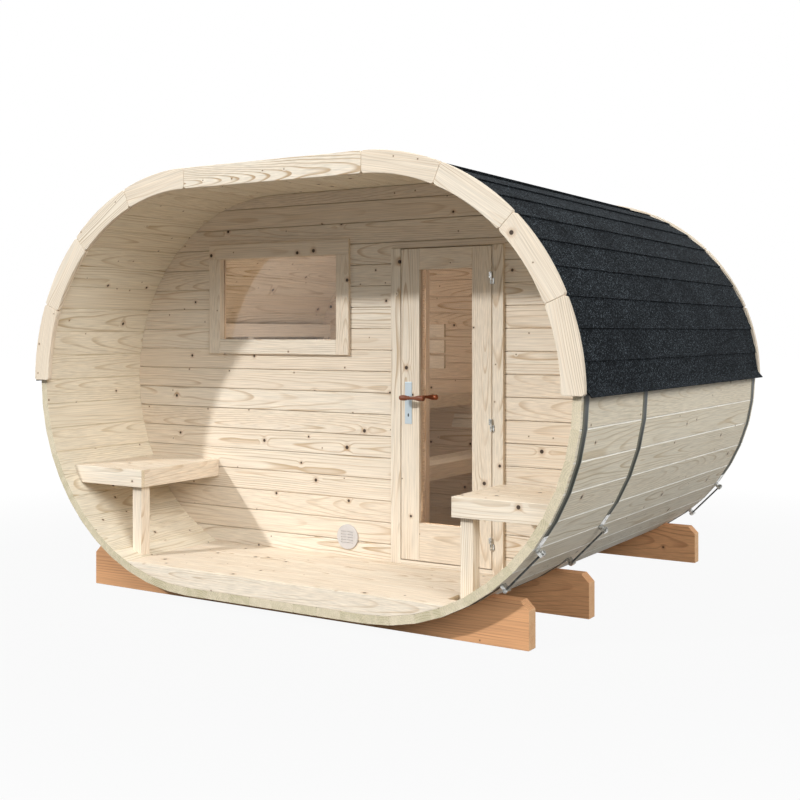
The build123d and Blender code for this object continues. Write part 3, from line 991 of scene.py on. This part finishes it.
@dataclass
class Timberwork(SubAssembly):
    """Plain boards, posts and frames, each a copy of its CAD node with eased edges and its own grain."""

    nodes: tuple[str, ...]
    finish: TimberFinish = SPRUCE
    body: Body = Body.CABIN
    ease: float = 0.002

    def build(self) -> list[Object]:
        """Makes one piece for each node."""
        return [self._dress(node) for node in self.nodes]

    def _dress(self, node: str) -> Object:
        """One node's piece.

        Args:
            node: Name of the CAD node.

        Returns:
            The piece.
        """
        bm = copied(node)
        ease_edges(bm, self.ease)
        lay_grain(bm, random.Random(node))
        self._mark(bm)
        return finished(f"planed_{node}", bm, self._materials(), self.body, (node,))

    def _materials(self) -> list[Material]:
        """Materials of the boards, in the order of the faces' indices."""
        return self.finish.materials()

    def _mark(self, bm: BMesh) -> None:
        """Plain boards have no marked faces."""


@dataclass
class StaveRun(Timberwork):
    """Staves of the shell, with a painted highlight on the narrow eased faces along their outer joints."""

    # Finish of the painted highlight on the joints' eased faces.
    edge: TimberFinish = EDGE_SPRUCE
    edge_width: float = 0.009
    edge_turn: float = 0.3
    barrel: Barrel = field(default_factory=Barrel.measured)

    FACE, EDGE = 0, 2

    def _materials(self) -> list[Material]:
        """The staves' materials, and last that of the painted highlight on their edges."""
        return [*self.finish.materials(), self.edge.materials()[0]]

    def _mark(self, bm: BMesh) -> None:
        """Gives the narrow outer faces along the joints the material of the painted highlight.

        Args:
            bm: Mesh of the staves.
        """
        bm.normal_update()
        for face in bm.faces:
            outward = self.barrel.outward(face.calc_center_median()).normalized()
            width = face.calc_area() / max(edge.calc_length() for edge in face.edges)
            outside = face.normal.dot(outward) > self.edge_turn
            if face.material_index == self.FACE and width < self.edge_width and outside:
                face.material_index = self.EDGE


@dataclass
class BoardedPanel(SubAssembly):
    """A wall or floor of boards, sawn from the shape of a CAD panel."""

    name: str
    donor: str
    replaced: tuple[str, ...]
    across: Vector
    pitch: float
    joint: float
    shift: Vector = Vector()
    gap: float = 0.0028
    ease: float = 0.0032
    openings: tuple[Limits, ...] = ()
    tongue_share: float = 0.0
    far_end: float = 10.0

    def build(self) -> list[Object]:
        """Saws the panel into boards and dresses them.

        Returns:
            The panel's one piece.
        """
        low, high = (corner.dot(self.across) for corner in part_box(self.donor))
        whole = bmesh.new()
        for start in row_starts(low, high, self.joint, self.pitch):
            for x0, x1, z0, z1 in self._spans(start, start + self.pitch):
                append(whole, self._board(max(z0, low), min(z1, high), x0, x1))
        if self.tongue_share:
            append(whole, self._tongues())
        bmesh.ops.translate(whole, verts=whole.verts[:], vec=self.shift)
        lay_grain(whole, random.Random(f"{self.name} 0"))
        return [finished(self.name, whole, SPRUCE.materials(), Body.CABIN, self.replaced)]

    def _tongues(self) -> BMesh:
        """The tongues that close the joints, as a thin sheet in the middle of a wall.

        Returns:
            The sheet's mesh.
        """
        bm = copied(self.donor)
        low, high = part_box(self.donor)
        to_middle = Matrix.Translation((0.0, -(low.y + high.y) / 2, 0.0))
        bmesh.ops.scale(bm, vec=(1.0, self.tongue_share, 1.0), space=to_middle, verts=bm.verts[:])
        return bm

    def _spans(self, start: float, end: float) -> list[Limits]:
        """Stretches of one row of boards, clear of the openings.

        Args:
            start: Lower edge of the row.
            end: Upper edge of the row.

        Returns:
            Limits along and across the row of each stretch.
        """
        spans = [(-self.far_end, self.far_end, start, end)]
        for left, right, bottom, top in self.openings:
            if end <= bottom or start >= top:
                continue
            x0, x1 = spans.pop()[:2]
            spans += [(x0, left, start, end), (right, x1, start, end)]
            if end > top:
                spans.insert(-1, (left, right, top, end))
        return spans

    def _board(self, start: float, end: float, x0: float, x1: float) -> BMesh:
        """One board.

        Args:
            start: Lower edge.
            end: Upper edge.
            x0: Left end.
            x1: Right end.

        Returns:
            The board's mesh.
        """
        bm = copied(self.donor)
        saw_out(bm, self.across, start + self.gap / 2, end - self.gap / 2)
        saw_out(bm, RIGHT, x0, x1)
        if bm.faces:
            ease_edges(bm, self.ease, segments=1, along=RIGHT)
        return bm


@dataclass
class DoorScreen(SubAssembly):
    """The screen inside the doorway, of level boards and a post."""

    pitch: float
    joint: float
    node: str = "door_screen"
    gap: float = 0.003
    ease: float = 0.004

    def build(self) -> list[Object]:
        """Saws the screen's panel into boards and keeps its post.

        Returns:
            The screen's one piece.
        """
        low, high = (corner.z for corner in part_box(self.node))
        whole = self._part(post=True)
        for start in row_starts(low, high, self.joint, self.pitch):
            board = self._part(post=False)
            saw_out(board, UP, start + self.gap / 2, start + self.pitch - self.gap / 2)
            ease_edges(board, self.ease, segments=1, along=BACK)
            append(whole, board)
        lay_grain(whole, random.Random(self.node))
        name = f"boarded_{self.node}"
        return [finished(name, whole, SPRUCE.materials(), Body.CABIN, (self.node,))]

    def _part(self, post: bool) -> BMesh:
        """One of the screen's two solids.

        Args:
            post: The post, or else the panel.

        Returns:
            A copy of the solid.
        """
        bm = copied(self.node)
        shorter, longer = sorted(islands(bm), key=self._depth)
        bmesh.ops.delete(bm, geom=longer if post else shorter, context="VERTS")
        return bm

    @staticmethod
    def _depth(group: list[BMVert]) -> float:
        """How far a solid reaches along the barrel."""
        places = [vert.co.y for vert in group]
        return max(places) - min(places)


@dataclass
class ArchTrim(SubAssembly):
    """The trims over the stave ends, in curved pieces with eased ends and a straight piece on top."""

    nodes: tuple[str, ...]
    barrel: Barrel
    ease: float = 0.003
    shortest_edge: float = 0.004
    pith_deepest: float = 0.08
    end_grain: float = 0.9

    def build(self) -> list[Object]:
        """Makes one piece for each trim."""
        return [self._dress(node) for node in self.nodes]

    def _dress(self, node: str) -> Object:
        """Copies a CAD trim, rounds its edges and lays the grain of its pieces.

        Args:
            node: Name of the CAD node.

        Returns:
            The trim.
        """
        bm = copied(node)
        ease_edges(bm, self.ease, self.shortest_edge)
        draw = random.Random(node)
        lay_grain(bm, draw)
        grain, _ = grain_layers(bm)
        for group in islands(bm):
            if abs(middle_of(group).x) >= self.barrel.half_flat:
                self._lay_chord(group, grain, draw)
        return finished(f"planed_{node}", bm, TRIM_SPRUCE.materials(), Body.CABIN, (node,))

    def _lay_chord(self, group: list[BMVert], grain: BMLayerItem, draw: random.Random) -> None:
        """Runs a curved piece's grain straight along the chord of its arc.

        Args:
            group: Vertices of the piece.
            grain: Layer of the grain's coordinates.
            draw: Source of the pieces' differences.
        """
        centre = middle_of(group)
        out = self.barrel.outward(centre).normalized()
        along = BACK.cross(out)
        pith = Vector((draw.uniform(0, TRUNK_LENGTH), draw.uniform(-PITH_ASIDE, PITH_ASIDE),
                       draw.uniform(PITH_SHALLOWEST, self.pith_deepest)))
        for vert in group:
            local = vert.co - centre
            vert[grain] = Vector((local.dot(along), local.dot(out), local.y)) + pith
        for face in {face for vert in group for face in vert.link_faces}:
            face.material_index = int(abs(face.normal.dot(along)) > self.end_grain)


@dataclass
class FeltRoof(SubAssembly):
    """Roof of overlapping felt courses, one over each stave, with an out-turned eave."""

    barrel: Barrel
    finish: FeltFinish
    thickness: float = 0.005
    lift: float = 0.0025
    step: float = 0.008
    overlap: float = 0.02
    lip_height: float = 0.045
    flat_courses: int = 8

    def build(self) -> list[Object]:
        """Lays the courses from both eaves to the middle.

        Returns:
            The roof's one piece.
        """
        bm = bmesh.new()
        low = self.barrel.radius + self.lift
        turn = 90.0 / self.barrel.staves_per_quarter
        for side in (1, -1):
            for course in range(1, self.barrel.staves_per_quarter):
                lower = self.barrel.rim(side, turn * course, low + self.step)
                upper = self.barrel.rim(side, turn * (course + 1), low)
                self._course(bm, [lower, upper], side)
            self._eave(bm, side, low, turn)
            self._flat(bm, side, low)
        bmesh.ops.recalc_face_normals(bm, faces=bm.faces[:])
        felt = [self.finish.material()]
        return [finished("felt_courses", bm, felt, Body.CABIN, ("roof_cover",))]

    def _course(self, bm: BMesh, points: list[Vector], side: int) -> None:
        """One course of felt, which runs on under the next.

        Args:
            bm: Mesh that gets the course.
            points: Profile of its underside, from the exposed lower edge to the next course.
            side: 1 on the right, -1 on the left.
        """
        front = Vector((0.0, self.barrel.front_y, 0.0))
        length = Vector((0.0, self.barrel.rear_y - self.barrel.front_y, 0.0))
        covered = points[-1] + (points[-1] - points[-2]).normalized() * self.overlap
        part = polyline(point + front for point in [*points[:-1], covered])
        drawn = bmesh.ops.extrude_edge_only(part, edges=part.edges[:])["geom"]
        bmesh.ops.translate(part, verts=[item for item in drawn if isinstance(item, BMVert)], vec=length)
        part.normal_update()
        flip = [face for face in part.faces if face.normal.x * side + face.normal.z < 0]
        bmesh.ops.reverse_faces(part, faces=flip)
        bmesh.ops.solidify(part, geom=part.faces[:], thickness=-self.thickness)
        append(bm, part)

    def _eave(self, bm: BMesh, side: int, low: float, turn: float) -> None:
        """The lowest course with its out-turned lip.

        Args:
            bm: Mesh that gets the eave.
            side: 1 on the right, -1 on the left.
            low: Radius of the felt's underside.
            turn: Degrees between courses.
        """
        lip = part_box("roof_cover")
        reach = (lip[1].x - lip[0].x) / 2 - self.thickness
        bottom = Vector((side * reach, 0.0, lip[0].z + self.thickness))
        bend_x = side * (self.barrel.half_flat + low + self.step)
        bend = Vector((bend_x, 0.0, lip[0].z + self.lip_height))
        self._course(bm, [bottom, bend, self.barrel.rim(side, turn, low)], side)

    def _flat(self, bm: BMesh, side: int, low: float) -> None:
        """Courses over one half of the flat top.

        Args:
            bm: Mesh that gets the courses.
            side: 1 on the right, -1 on the left.
            low: Radius of the felt's underside.
        """
        pitch = self.barrel.half_flat * 2 / self.flat_courses
        for course in range(self.flat_courses // 2):
            outer = self.barrel.half_flat - pitch * course
            lower = Vector((side * outer, 0.0, self.barrel.axis_z + low + self.step))
            upper = Vector((side * (outer - pitch), 0.0, self.barrel.axis_z + low))
            self._course(bm, [lower, upper], side)


def lever_pivot() -> list[float]:
    """Place of the levers' spindle."""
    return next(joint["pos_m"] for joint in frame["joints"] if joint["name"] == "lever_turn")


@dataclass
class DoorLever(SubAssembly):
    """Turned wooden levers on both sides of the door, with a knob, a slim waist and a swelling grip."""

    knob: float = 0.0155
    waist: float = 0.0095
    swell: float = 0.0165
    neck: float = 0.0085
    neck_foot: float = 0.0102
    steps: int = 28

    # Shares of the lever's length, and of the radius of the knob, the waist and the grip in turn.
    PROFILE = (
        ((0.0, 0.0), (0.0, 0.5), (0.015, 0.78), (0.05, 0.95), (0.1, 1.0), (0.18, 1.0), (0.25, 0.94),
         (0.30, 0.78)),
        ((0.33, 1.0), (0.35, 1.22), (0.37, 1.22), (0.39, 1.0), (0.52, 0.95), (0.62, 1.08)),
        ((0.72, 0.84), (0.80, 0.98), (0.86, 1.0), (0.90, 0.9), (0.915, 0.97), (0.95, 0.98), (0.98, 0.86),
         (1.0, 0.5), (1.0, 0.0)),
    )

    def build(self) -> list[Object]:
        """Turns the levers and their necks.

        Returns:
            The levers and the necks as two pieces.
        """
        low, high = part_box("door_lever")
        centre_z = (low.z + high.z) / 2
        radius = (high.z - low.z) / 2
        wood, metal = bmesh.new(), bmesh.new()
        faces = [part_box("lock_plates")[0].y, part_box("lock_plates")[1].y]
        for depth, plate in zip((low.y + radius, high.y - radius), faces):
            self._turn(wood, Vector((low.x, depth, centre_z)), high.x - low.x)
            self._neck(metal, Vector((lever_pivot()[0], plate, centre_z)), depth - plate)
        lay_grain(wood, random.Random("lever"))
        for face in wood.faces:
            face.smooth = True
            face.material_index = 0
        oiled, zinc = DARK_WOOD.materials(), [ZINC.material()]
        return [
            finished("turned_levers", wood, oiled, Body.LEVER, ("door_lever",)),
            finished("lever_necks", metal, zinc, Body.LEVER),
        ]

    def _turn(self, bm: BMesh, start: Vector, length: float) -> None:
        """One lever, spun about its length.

        Args:
            bm: Mesh that gets the lever.
            start: Middle of its tail end.
            length: Overall length.
        """
        radii = (self.knob, self.waist, self.swell)
        part = polyline(start + Vector((length * run, 0.0, radius * share))
                        for radius, points in zip(radii, self.PROFILE) for run, share in points)
        bmesh.ops.spin(part, geom=part.verts[:] + part.edges[:], cent=start, axis=RIGHT, angle=math.tau,
                       steps=self.steps, use_merge=True)
        bmesh.ops.remove_doubles(part, verts=part.verts[:], dist=MERGE_DISTANCE)
        bmesh.ops.recalc_face_normals(part, faces=part.faces[:])
        append(bm, part)

    def _neck(self, bm: BMesh, start: Vector, reach: float) -> None:
        """Round neck from the lock plate to a lever.

        Args:
            bm: Mesh that gets the neck.
            start: Point on the plate.
            reach: Signed length along the depth.
        """
        part = round_bar(self.neck_foot, self.neck, abs(reach), self.steps)
        bmesh.ops.translate(part, verts=part.verts[:], vec=start + BACK * (reach / 2))
        append(bm, part)


@dataclass
class LockPlates(SubAssembly):
    """Long plates of the lock on both sides of the leaf, with a keyhole below the lever, drawn as a thin dark
    disc of painted shade.
    """

    ease: float = 0.0012
    keyhole_drop: float = 0.1
    keyhole_width: float = 0.009
    keyhole_height: float = 0.02
    keyhole_depth: float = 0.0012
    keyhole_steps: int = 24

    def build(self) -> list[Object]:
        """Copies the CAD plates and adds the keyholes as thin dark discs of painted shade.

        Returns:
            The plates and the keyholes as two pieces.
        """
        plates, holes = copied("lock_plates"), bmesh.new()
        ease_edges(plates, self.ease)
        pivot = lever_pivot()
        size = (self.keyhole_width, self.keyhole_depth, self.keyhole_height)
        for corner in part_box("lock_plates"):
            part = round_bar(0.5, 0.5, 1.0, self.keyhole_steps)
            bmesh.ops.scale(part, vec=size, verts=part.verts[:])
            place = (pivot[0], corner.y, pivot[2] - self.keyhole_drop)
            bmesh.ops.translate(part, vec=place, verts=part.verts[:])
            append(holes, part)
        satin, dark = [SATIN_METAL.material()], [KEYHOLE_SHADE.material()]
        return [
            finished("satin_lock_plates", plates, satin, Body.DOOR, ("lock_plates",)),
            finished("keyholes", holes, dark, Body.DOOR),
        ]


@dataclass
class SteelBands(SubAssembly):
    """Bands round the barrel: strip with painted shade, painted light and a painted highlight, bright strap
    end, lugs and nuts, dark rod.
    """

    nodes: tuple[str, ...]
    barrel: Barrel
    strip_depth: float = 0.0035
    strap_length: float = 0.07
    rod_shortest: float = 0.08

    STRIP, FITTING, ROD = range(3)

    def build(self) -> list[Object]:
        """Makes one piece for each band."""
        return [self._dress(node) for node in self.nodes]

    def _dress(self, node: str) -> Object:
        """Copies a CAD band, marks its width and sorts its faces by finish.

        Args:
            node: Name of the CAD node.

        Returns:
            The band.
        """
        bm = copied(node)
        fittings = [vert for vert in bm.verts if self._rise(vert) > self.strip_depth]
        sides = [vert.co.y for vert in bm.verts if self._rise(vert) <= self.strip_depth]
        top = max(vert.co.z for vert in fittings)
        lug = middle_of([vert for vert in fittings if vert.co.z > top - self.strap_length])
        tangent = Vector((lug.z - self.barrel.axis_z, 0.0, self.barrel.half_flat - lug.x)).normalized()
        upward = tangent if tangent.z > 0 else -tangent
        across = bm.verts.layers.float.new("across")
        bmesh.ops.bisect_plane(bm, geom=whole_geometry(bm), plane_co=lug + upward * self.strap_length,
                               plane_no=upward)
        middle, half = (min(sides) + max(sides)) / 2, (max(sides) - min(sides)) / 2
        for vert in bm.verts:
            vert[across] = (vert.co.y - middle) / half
        for face in bm.faces:
            self._sort(face, lug)
        finishes = [finish.material() for finish in (StripFinish(), ZINC, BLACK_ROD)]
        return finished(f"tensioned_{node}", bm, finishes, Body.CABIN, (node,))

    def _sort(self, face: BMFace, lug: Vector) -> None:
        """Gives a face the finish of the strip, of the fittings or of the rod.

        Args:
            face: Face of the band.
            lug: Middle of the upper lug.
        """
        place = face.calc_center_median()
        rises = [self._rise(vert) for vert in face.verts]
        strap = (Vector((place.x, lug.y, place.z)) - lug).length < self.strap_length
        longest = max(edge.calc_length() for edge in face.edges)
        if min(rises) > self.strip_depth and longest > self.rod_shortest:
            face.material_index = self.ROD
        else:
            fitting = max(rises) > self.strip_depth or strap
            face.material_index = self.FITTING if fitting else self.STRIP

    def _rise(self, vert: BMVert) -> float:
        """Height of a vertex over the staves."""
        return self.barrel.outward(vert.co).length - self.barrel.radius


@dataclass
class Hardware(SubAssembly):
    """CAD nodes that keep their shape and get a finish."""

    finish: Finish
    nodes: tuple[str, ...]

    def build(self) -> list[Object]:
        """Puts the finish on the nodes.

        Returns:
            The nodes' objects.
        """
        pieces = [frame["nodes"][node] for node in self.nodes]
        for piece in pieces:
            piece.data.materials.clear()
            piece.data.materials.append(self.finish.material())
        return pieces


@dataclass
class Studio:
    """Camera, daylight, soft light in the room and a white floor."""

    eye: Vector = Vector((3.8474, -6.3478, 1.5111))
    yaw: float = math.radians(31.842)
    lens: float = 52.686
    shift_y: float = -0.0841
    day_colour: Colour = (0.97, 0.99, 1.0)
    sun_way: Vector = Vector((0.631, 1.0, -0.753))
    sun_strength: float = 2.24
    sun_spread: float = math.radians(3.0)
    fill_way: Vector = Vector((-0.75, 0.42, -0.48))
    fill_strength: float = 1.74
    fill_spread: float = math.radians(30.0)
    sky_colour: Colour = (0.95, 1.0, 0.99)
    sky_strength: float = 0.86
    sky_step: Step = (-0.1, 0.8)
    horizon_share: float = 0.26
    room_way: Vector = Vector((0.0, 1.0, -0.1))
    room_colour: Colour = (1.0, 0.9, 0.8)
    room_strength: float = 8.0
    room_light_size: float = 1.4
    room_light_gap: float = 0.03
    room_light_rise: float = 1.0
    backrest_way: Vector = Vector((-1.0, -0.1, -0.1))
    backrest_colour: Colour = (1.0, 0.97, 0.95)
    backrest_strength: float = 4.6
    backrest_light_x: float = -0.3
    floor_radius: float = 60.0
    floor_steps: int = 64
    floor_colour: Colour = (0.1, 0.1, 0.1)
    floor_roughness: float = 0.9
    floor_glow: float = 1.03
    floor_step: Step = (2.5, 7.0)
    floor_white: float = 0.91

    def build(self) -> None:
        """Makes the camera, the lamps, the world and the floor."""
        self._camera()
        for name, way, strength, spread in (("sun", self.sun_way, self.sun_strength, self.sun_spread),
                                            ("fill", self.fill_way, self.fill_strength, self.fill_spread)):
            self._lamp(name, "SUN", way, strength, self.day_colour).data.angle = spread
        self._room_lights()
        self._world()
        self._floor()
        bpy.context.scene.view_settings.view_transform = "Standard"

    def _camera(self) -> None:
        """Level camera at the photograph's viewing angle."""
        data = bpy.data.cameras.new("camera")
        data.lens = self.lens
        data.shift_y = self.shift_y
        camera = bpy.data.objects.new("camera", data)
        camera.location = self.eye
        camera.rotation_euler = (math.pi / 2, 0.0, self.yaw)
        bpy.context.scene.collection.objects.link(camera)
        bpy.context.scene.camera = camera

    def _lamp(self, name: str, kind: str, way: Vector, strength: float, colour: Colour) -> Object:
        """A lamp at the origin.

        Args:
            name: Name of the lamp.
            kind: Type of light.
            way: Direction that its light travels.
            strength: Its power, or for a sun the light on a surface that faces it.
            colour: Its colour.

        Returns:
            The lamp's object.
        """
        data = bpy.data.lights.new(name, kind)
        data.energy = strength
        data.color = colour
        lamp = bpy.data.objects.new(name, data)
        lamp.rotation_euler = way.to_track_quat("-Z", "Z").to_euler()
        bpy.context.scene.collection.objects.link(lamp)
        return lamp

    def _room_lights(self) -> None:
        """Warm soft light inside the front wall, and more towards the backrest."""
        low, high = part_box("room_floor")
        middle = (low + high) / 2
        level = high.z + self.room_light_rise
        front = self._lamp("room_front", "AREA", self.room_way, self.room_strength, self.room_colour)
        front.location = (middle.x, low.y + self.room_light_gap, level)
        strength, colour = self.backrest_strength, self.backrest_colour
        side = self._lamp("room_side", "AREA", self.backrest_way, strength, colour)
        side.location = (self.backrest_light_x, middle.y, level)
        for lamp, size in ((front, self.room_light_size), (side, self.room_light_size / 2)):
            lamp.data.size = size
            lamp.visible_camera = lamp.visible_glossy = lamp.visible_transmission = False

    def _world(self) -> None:
        """Sky that is brighter overhead, with a white background."""
        world = bpy.data.worlds.new("sky")
        bpy.context.scene.world = world
        world.use_nodes = True
        net = Net(world.node_tree)
        height = net.node("SeparateXYZ", {0: net.node("TexCoord").outputs["Generated"]}).outputs[2]
        rise = net.rise(height, *self.sky_step)
        share = net.calc("MULTIPLY_ADD", rise, 1.0 - self.horizon_share, self.horizon_share)
        sky = world.node_tree.nodes["Background"]
        net.fill(sky, {0: self.sky_colour, 1: net.times(share, self.sky_strength)})
        white = net.node("Background", {0: WHITE, 1: 1.0})
        net.show_mix("World Output", net.background_rays(), sky, white)

    def _floor(self) -> None:
        """White floor that keeps a faint shadow."""
        bm = bmesh.new()
        bmesh.ops.create_circle(bm, cap_ends=True, segments=self.floor_steps, radius=self.floor_radius)
        mesh = bpy.data.meshes.new("studio_floor")
        bm.to_mesh(mesh)
        bm.free()
        mesh.materials.append(surface("studio_floor", self._paint_floor))
        floor = bpy.data.objects.new("studio_floor", mesh)
        bpy.context.scene.collection.objects.link(floor)

    def _paint_floor(self, net: Net, shader: Node) -> None:
        """Mixes a dark floor, which takes the shadow, with a white one for the rays that see it.

        Args:
            net: Net of the material.
            shader: Its Principled shader.
        """
        net.fill(shader, {"Base Color": self.floor_colour, "Roughness": self.floor_roughness})
        far = net.rise(net.length(net.node("TexCoord").outputs["Object"]), *self.floor_step)
        white = net.calc("MULTIPLY_ADD", far, 1.0 - self.floor_white, self.floor_white)
        glow = net.node("Emission", {0: WHITE, 1: self.floor_glow})
        net.show_mix("Material Output", net.times(net.background_rays(), white), shader, glow)


def front_openings(cover: float = 0.4) -> tuple[Limits, Limits]:
    """Gaps in the rows of the front wall for the window and the door, hidden behind their frames.

    Args:
        cover: Where a gap starts, as a share of the width of the window frame's side.

    Returns:
        Left, right, lower and upper limits of each gap.
    """
    pane_low, pane_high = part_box("window_glass")
    frame_low, frame_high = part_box("window_frame")
    jamb_low, jamb_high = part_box("door_jambs")
    left = frame_low.x + (pane_low.x - frame_low.x) * cover
    right = frame_high.x - (frame_high.x - pane_high.x) * cover
    return (left, right, pane_low.z, pane_high.z), (jamb_low.x, jamb_high.x, jamb_low.z, jamb_high.z)


def walls() -> list[SubAssembly]:
    """The front and rear wall, which share one shape and one set of joints.

    Returns:
        The two panels.
    """
    shift = Vector((0.0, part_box("front_wall_left")[0].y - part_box("rear_wall")[0].y, 0.0))
    front = ("front_wall_left", "front_wall_under_window", "front_wall_over_window", "front_wall_middle",
             "front_wall_over_door", "front_wall_under_door", "front_wall_right")
    return [
        BoardedPanel("front_wall_boards", "rear_wall", front, UP, WALL_PITCH, WALL_JOINT, shift,
                     openings=front_openings()),
        BoardedPanel("rear_wall_boards", "rear_wall", ("rear_wall",), UP, WALL_PITCH, WALL_JOINT, ease=0.0012,
                     tongue_share=0.3),
    ]


def main() -> None:
    """Builds the sub-assemblies in order, and reports each piece."""
    logging.basicConfig(level=logging.INFO, format="%(message)s")
    barrel = Barrel.measured()
    Studio().build()
    assemblies = [
        StaveRun(("floor_staves", "right_lower_staves", "right_upper_staves", "top_staves",
                  "left_upper_staves", "left_lower_staves"), STAVE_SPRUCE, ease=0.0006),
        ArchTrim(("front_trim", "rear_trim"), barrel),
        FeltRoof(barrel, FeltFinish()),
        *walls(),
        *(BoardedPanel(f"{node}_boards", node, (node,), BACK, FLOOR_PITCH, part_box(node)[0].y, gap=0.0005,
                       ease=0.001) for node in ("terrace_floor", "room_floor")),
        Timberwork(("terrace_fascia", "door_jambs", "door_stops", "door_threshold", "window_frame",
                    "left_seat_aprons", "left_seat_slats", "left_seat_post", "right_seat_aprons",
                    "right_seat_slats", "right_seat_post")),
        Timberwork(("upper_bench", "lower_bench", "headrest", "low_headrest", "backrest"), ASPEN),
        DoorScreen(WALL_PITCH, WALL_JOINT),
        Timberwork(("door_stiles", "door_rails"), body=Body.DOOR),
        Timberwork(("front_cradle", "middle_cradle", "rear_cradle"), TREATED, ease=0.003),
        DoorLever(),
        LockPlates(),
        SteelBands(("front_band", "middle_band", "rear_band"), barrel),
        Hardware(ZINC, ("jamb_hinges", "leaf_hinges")),
        Hardware(SATIN_PLASTIC, ("vent_cover",)),
        Hardware(GlassFinish(), ("window_glass",)),
        Hardware(GlassFinish("door_pane", reflection=0.25), ("door_glass",)),
    ]
    for assembly in assemblies:
        for piece in assembly.build():
            LOG.info("%s: %d faces", piece.name, len(piece.data.polygons))


if __name__ == "__main__":
    main()
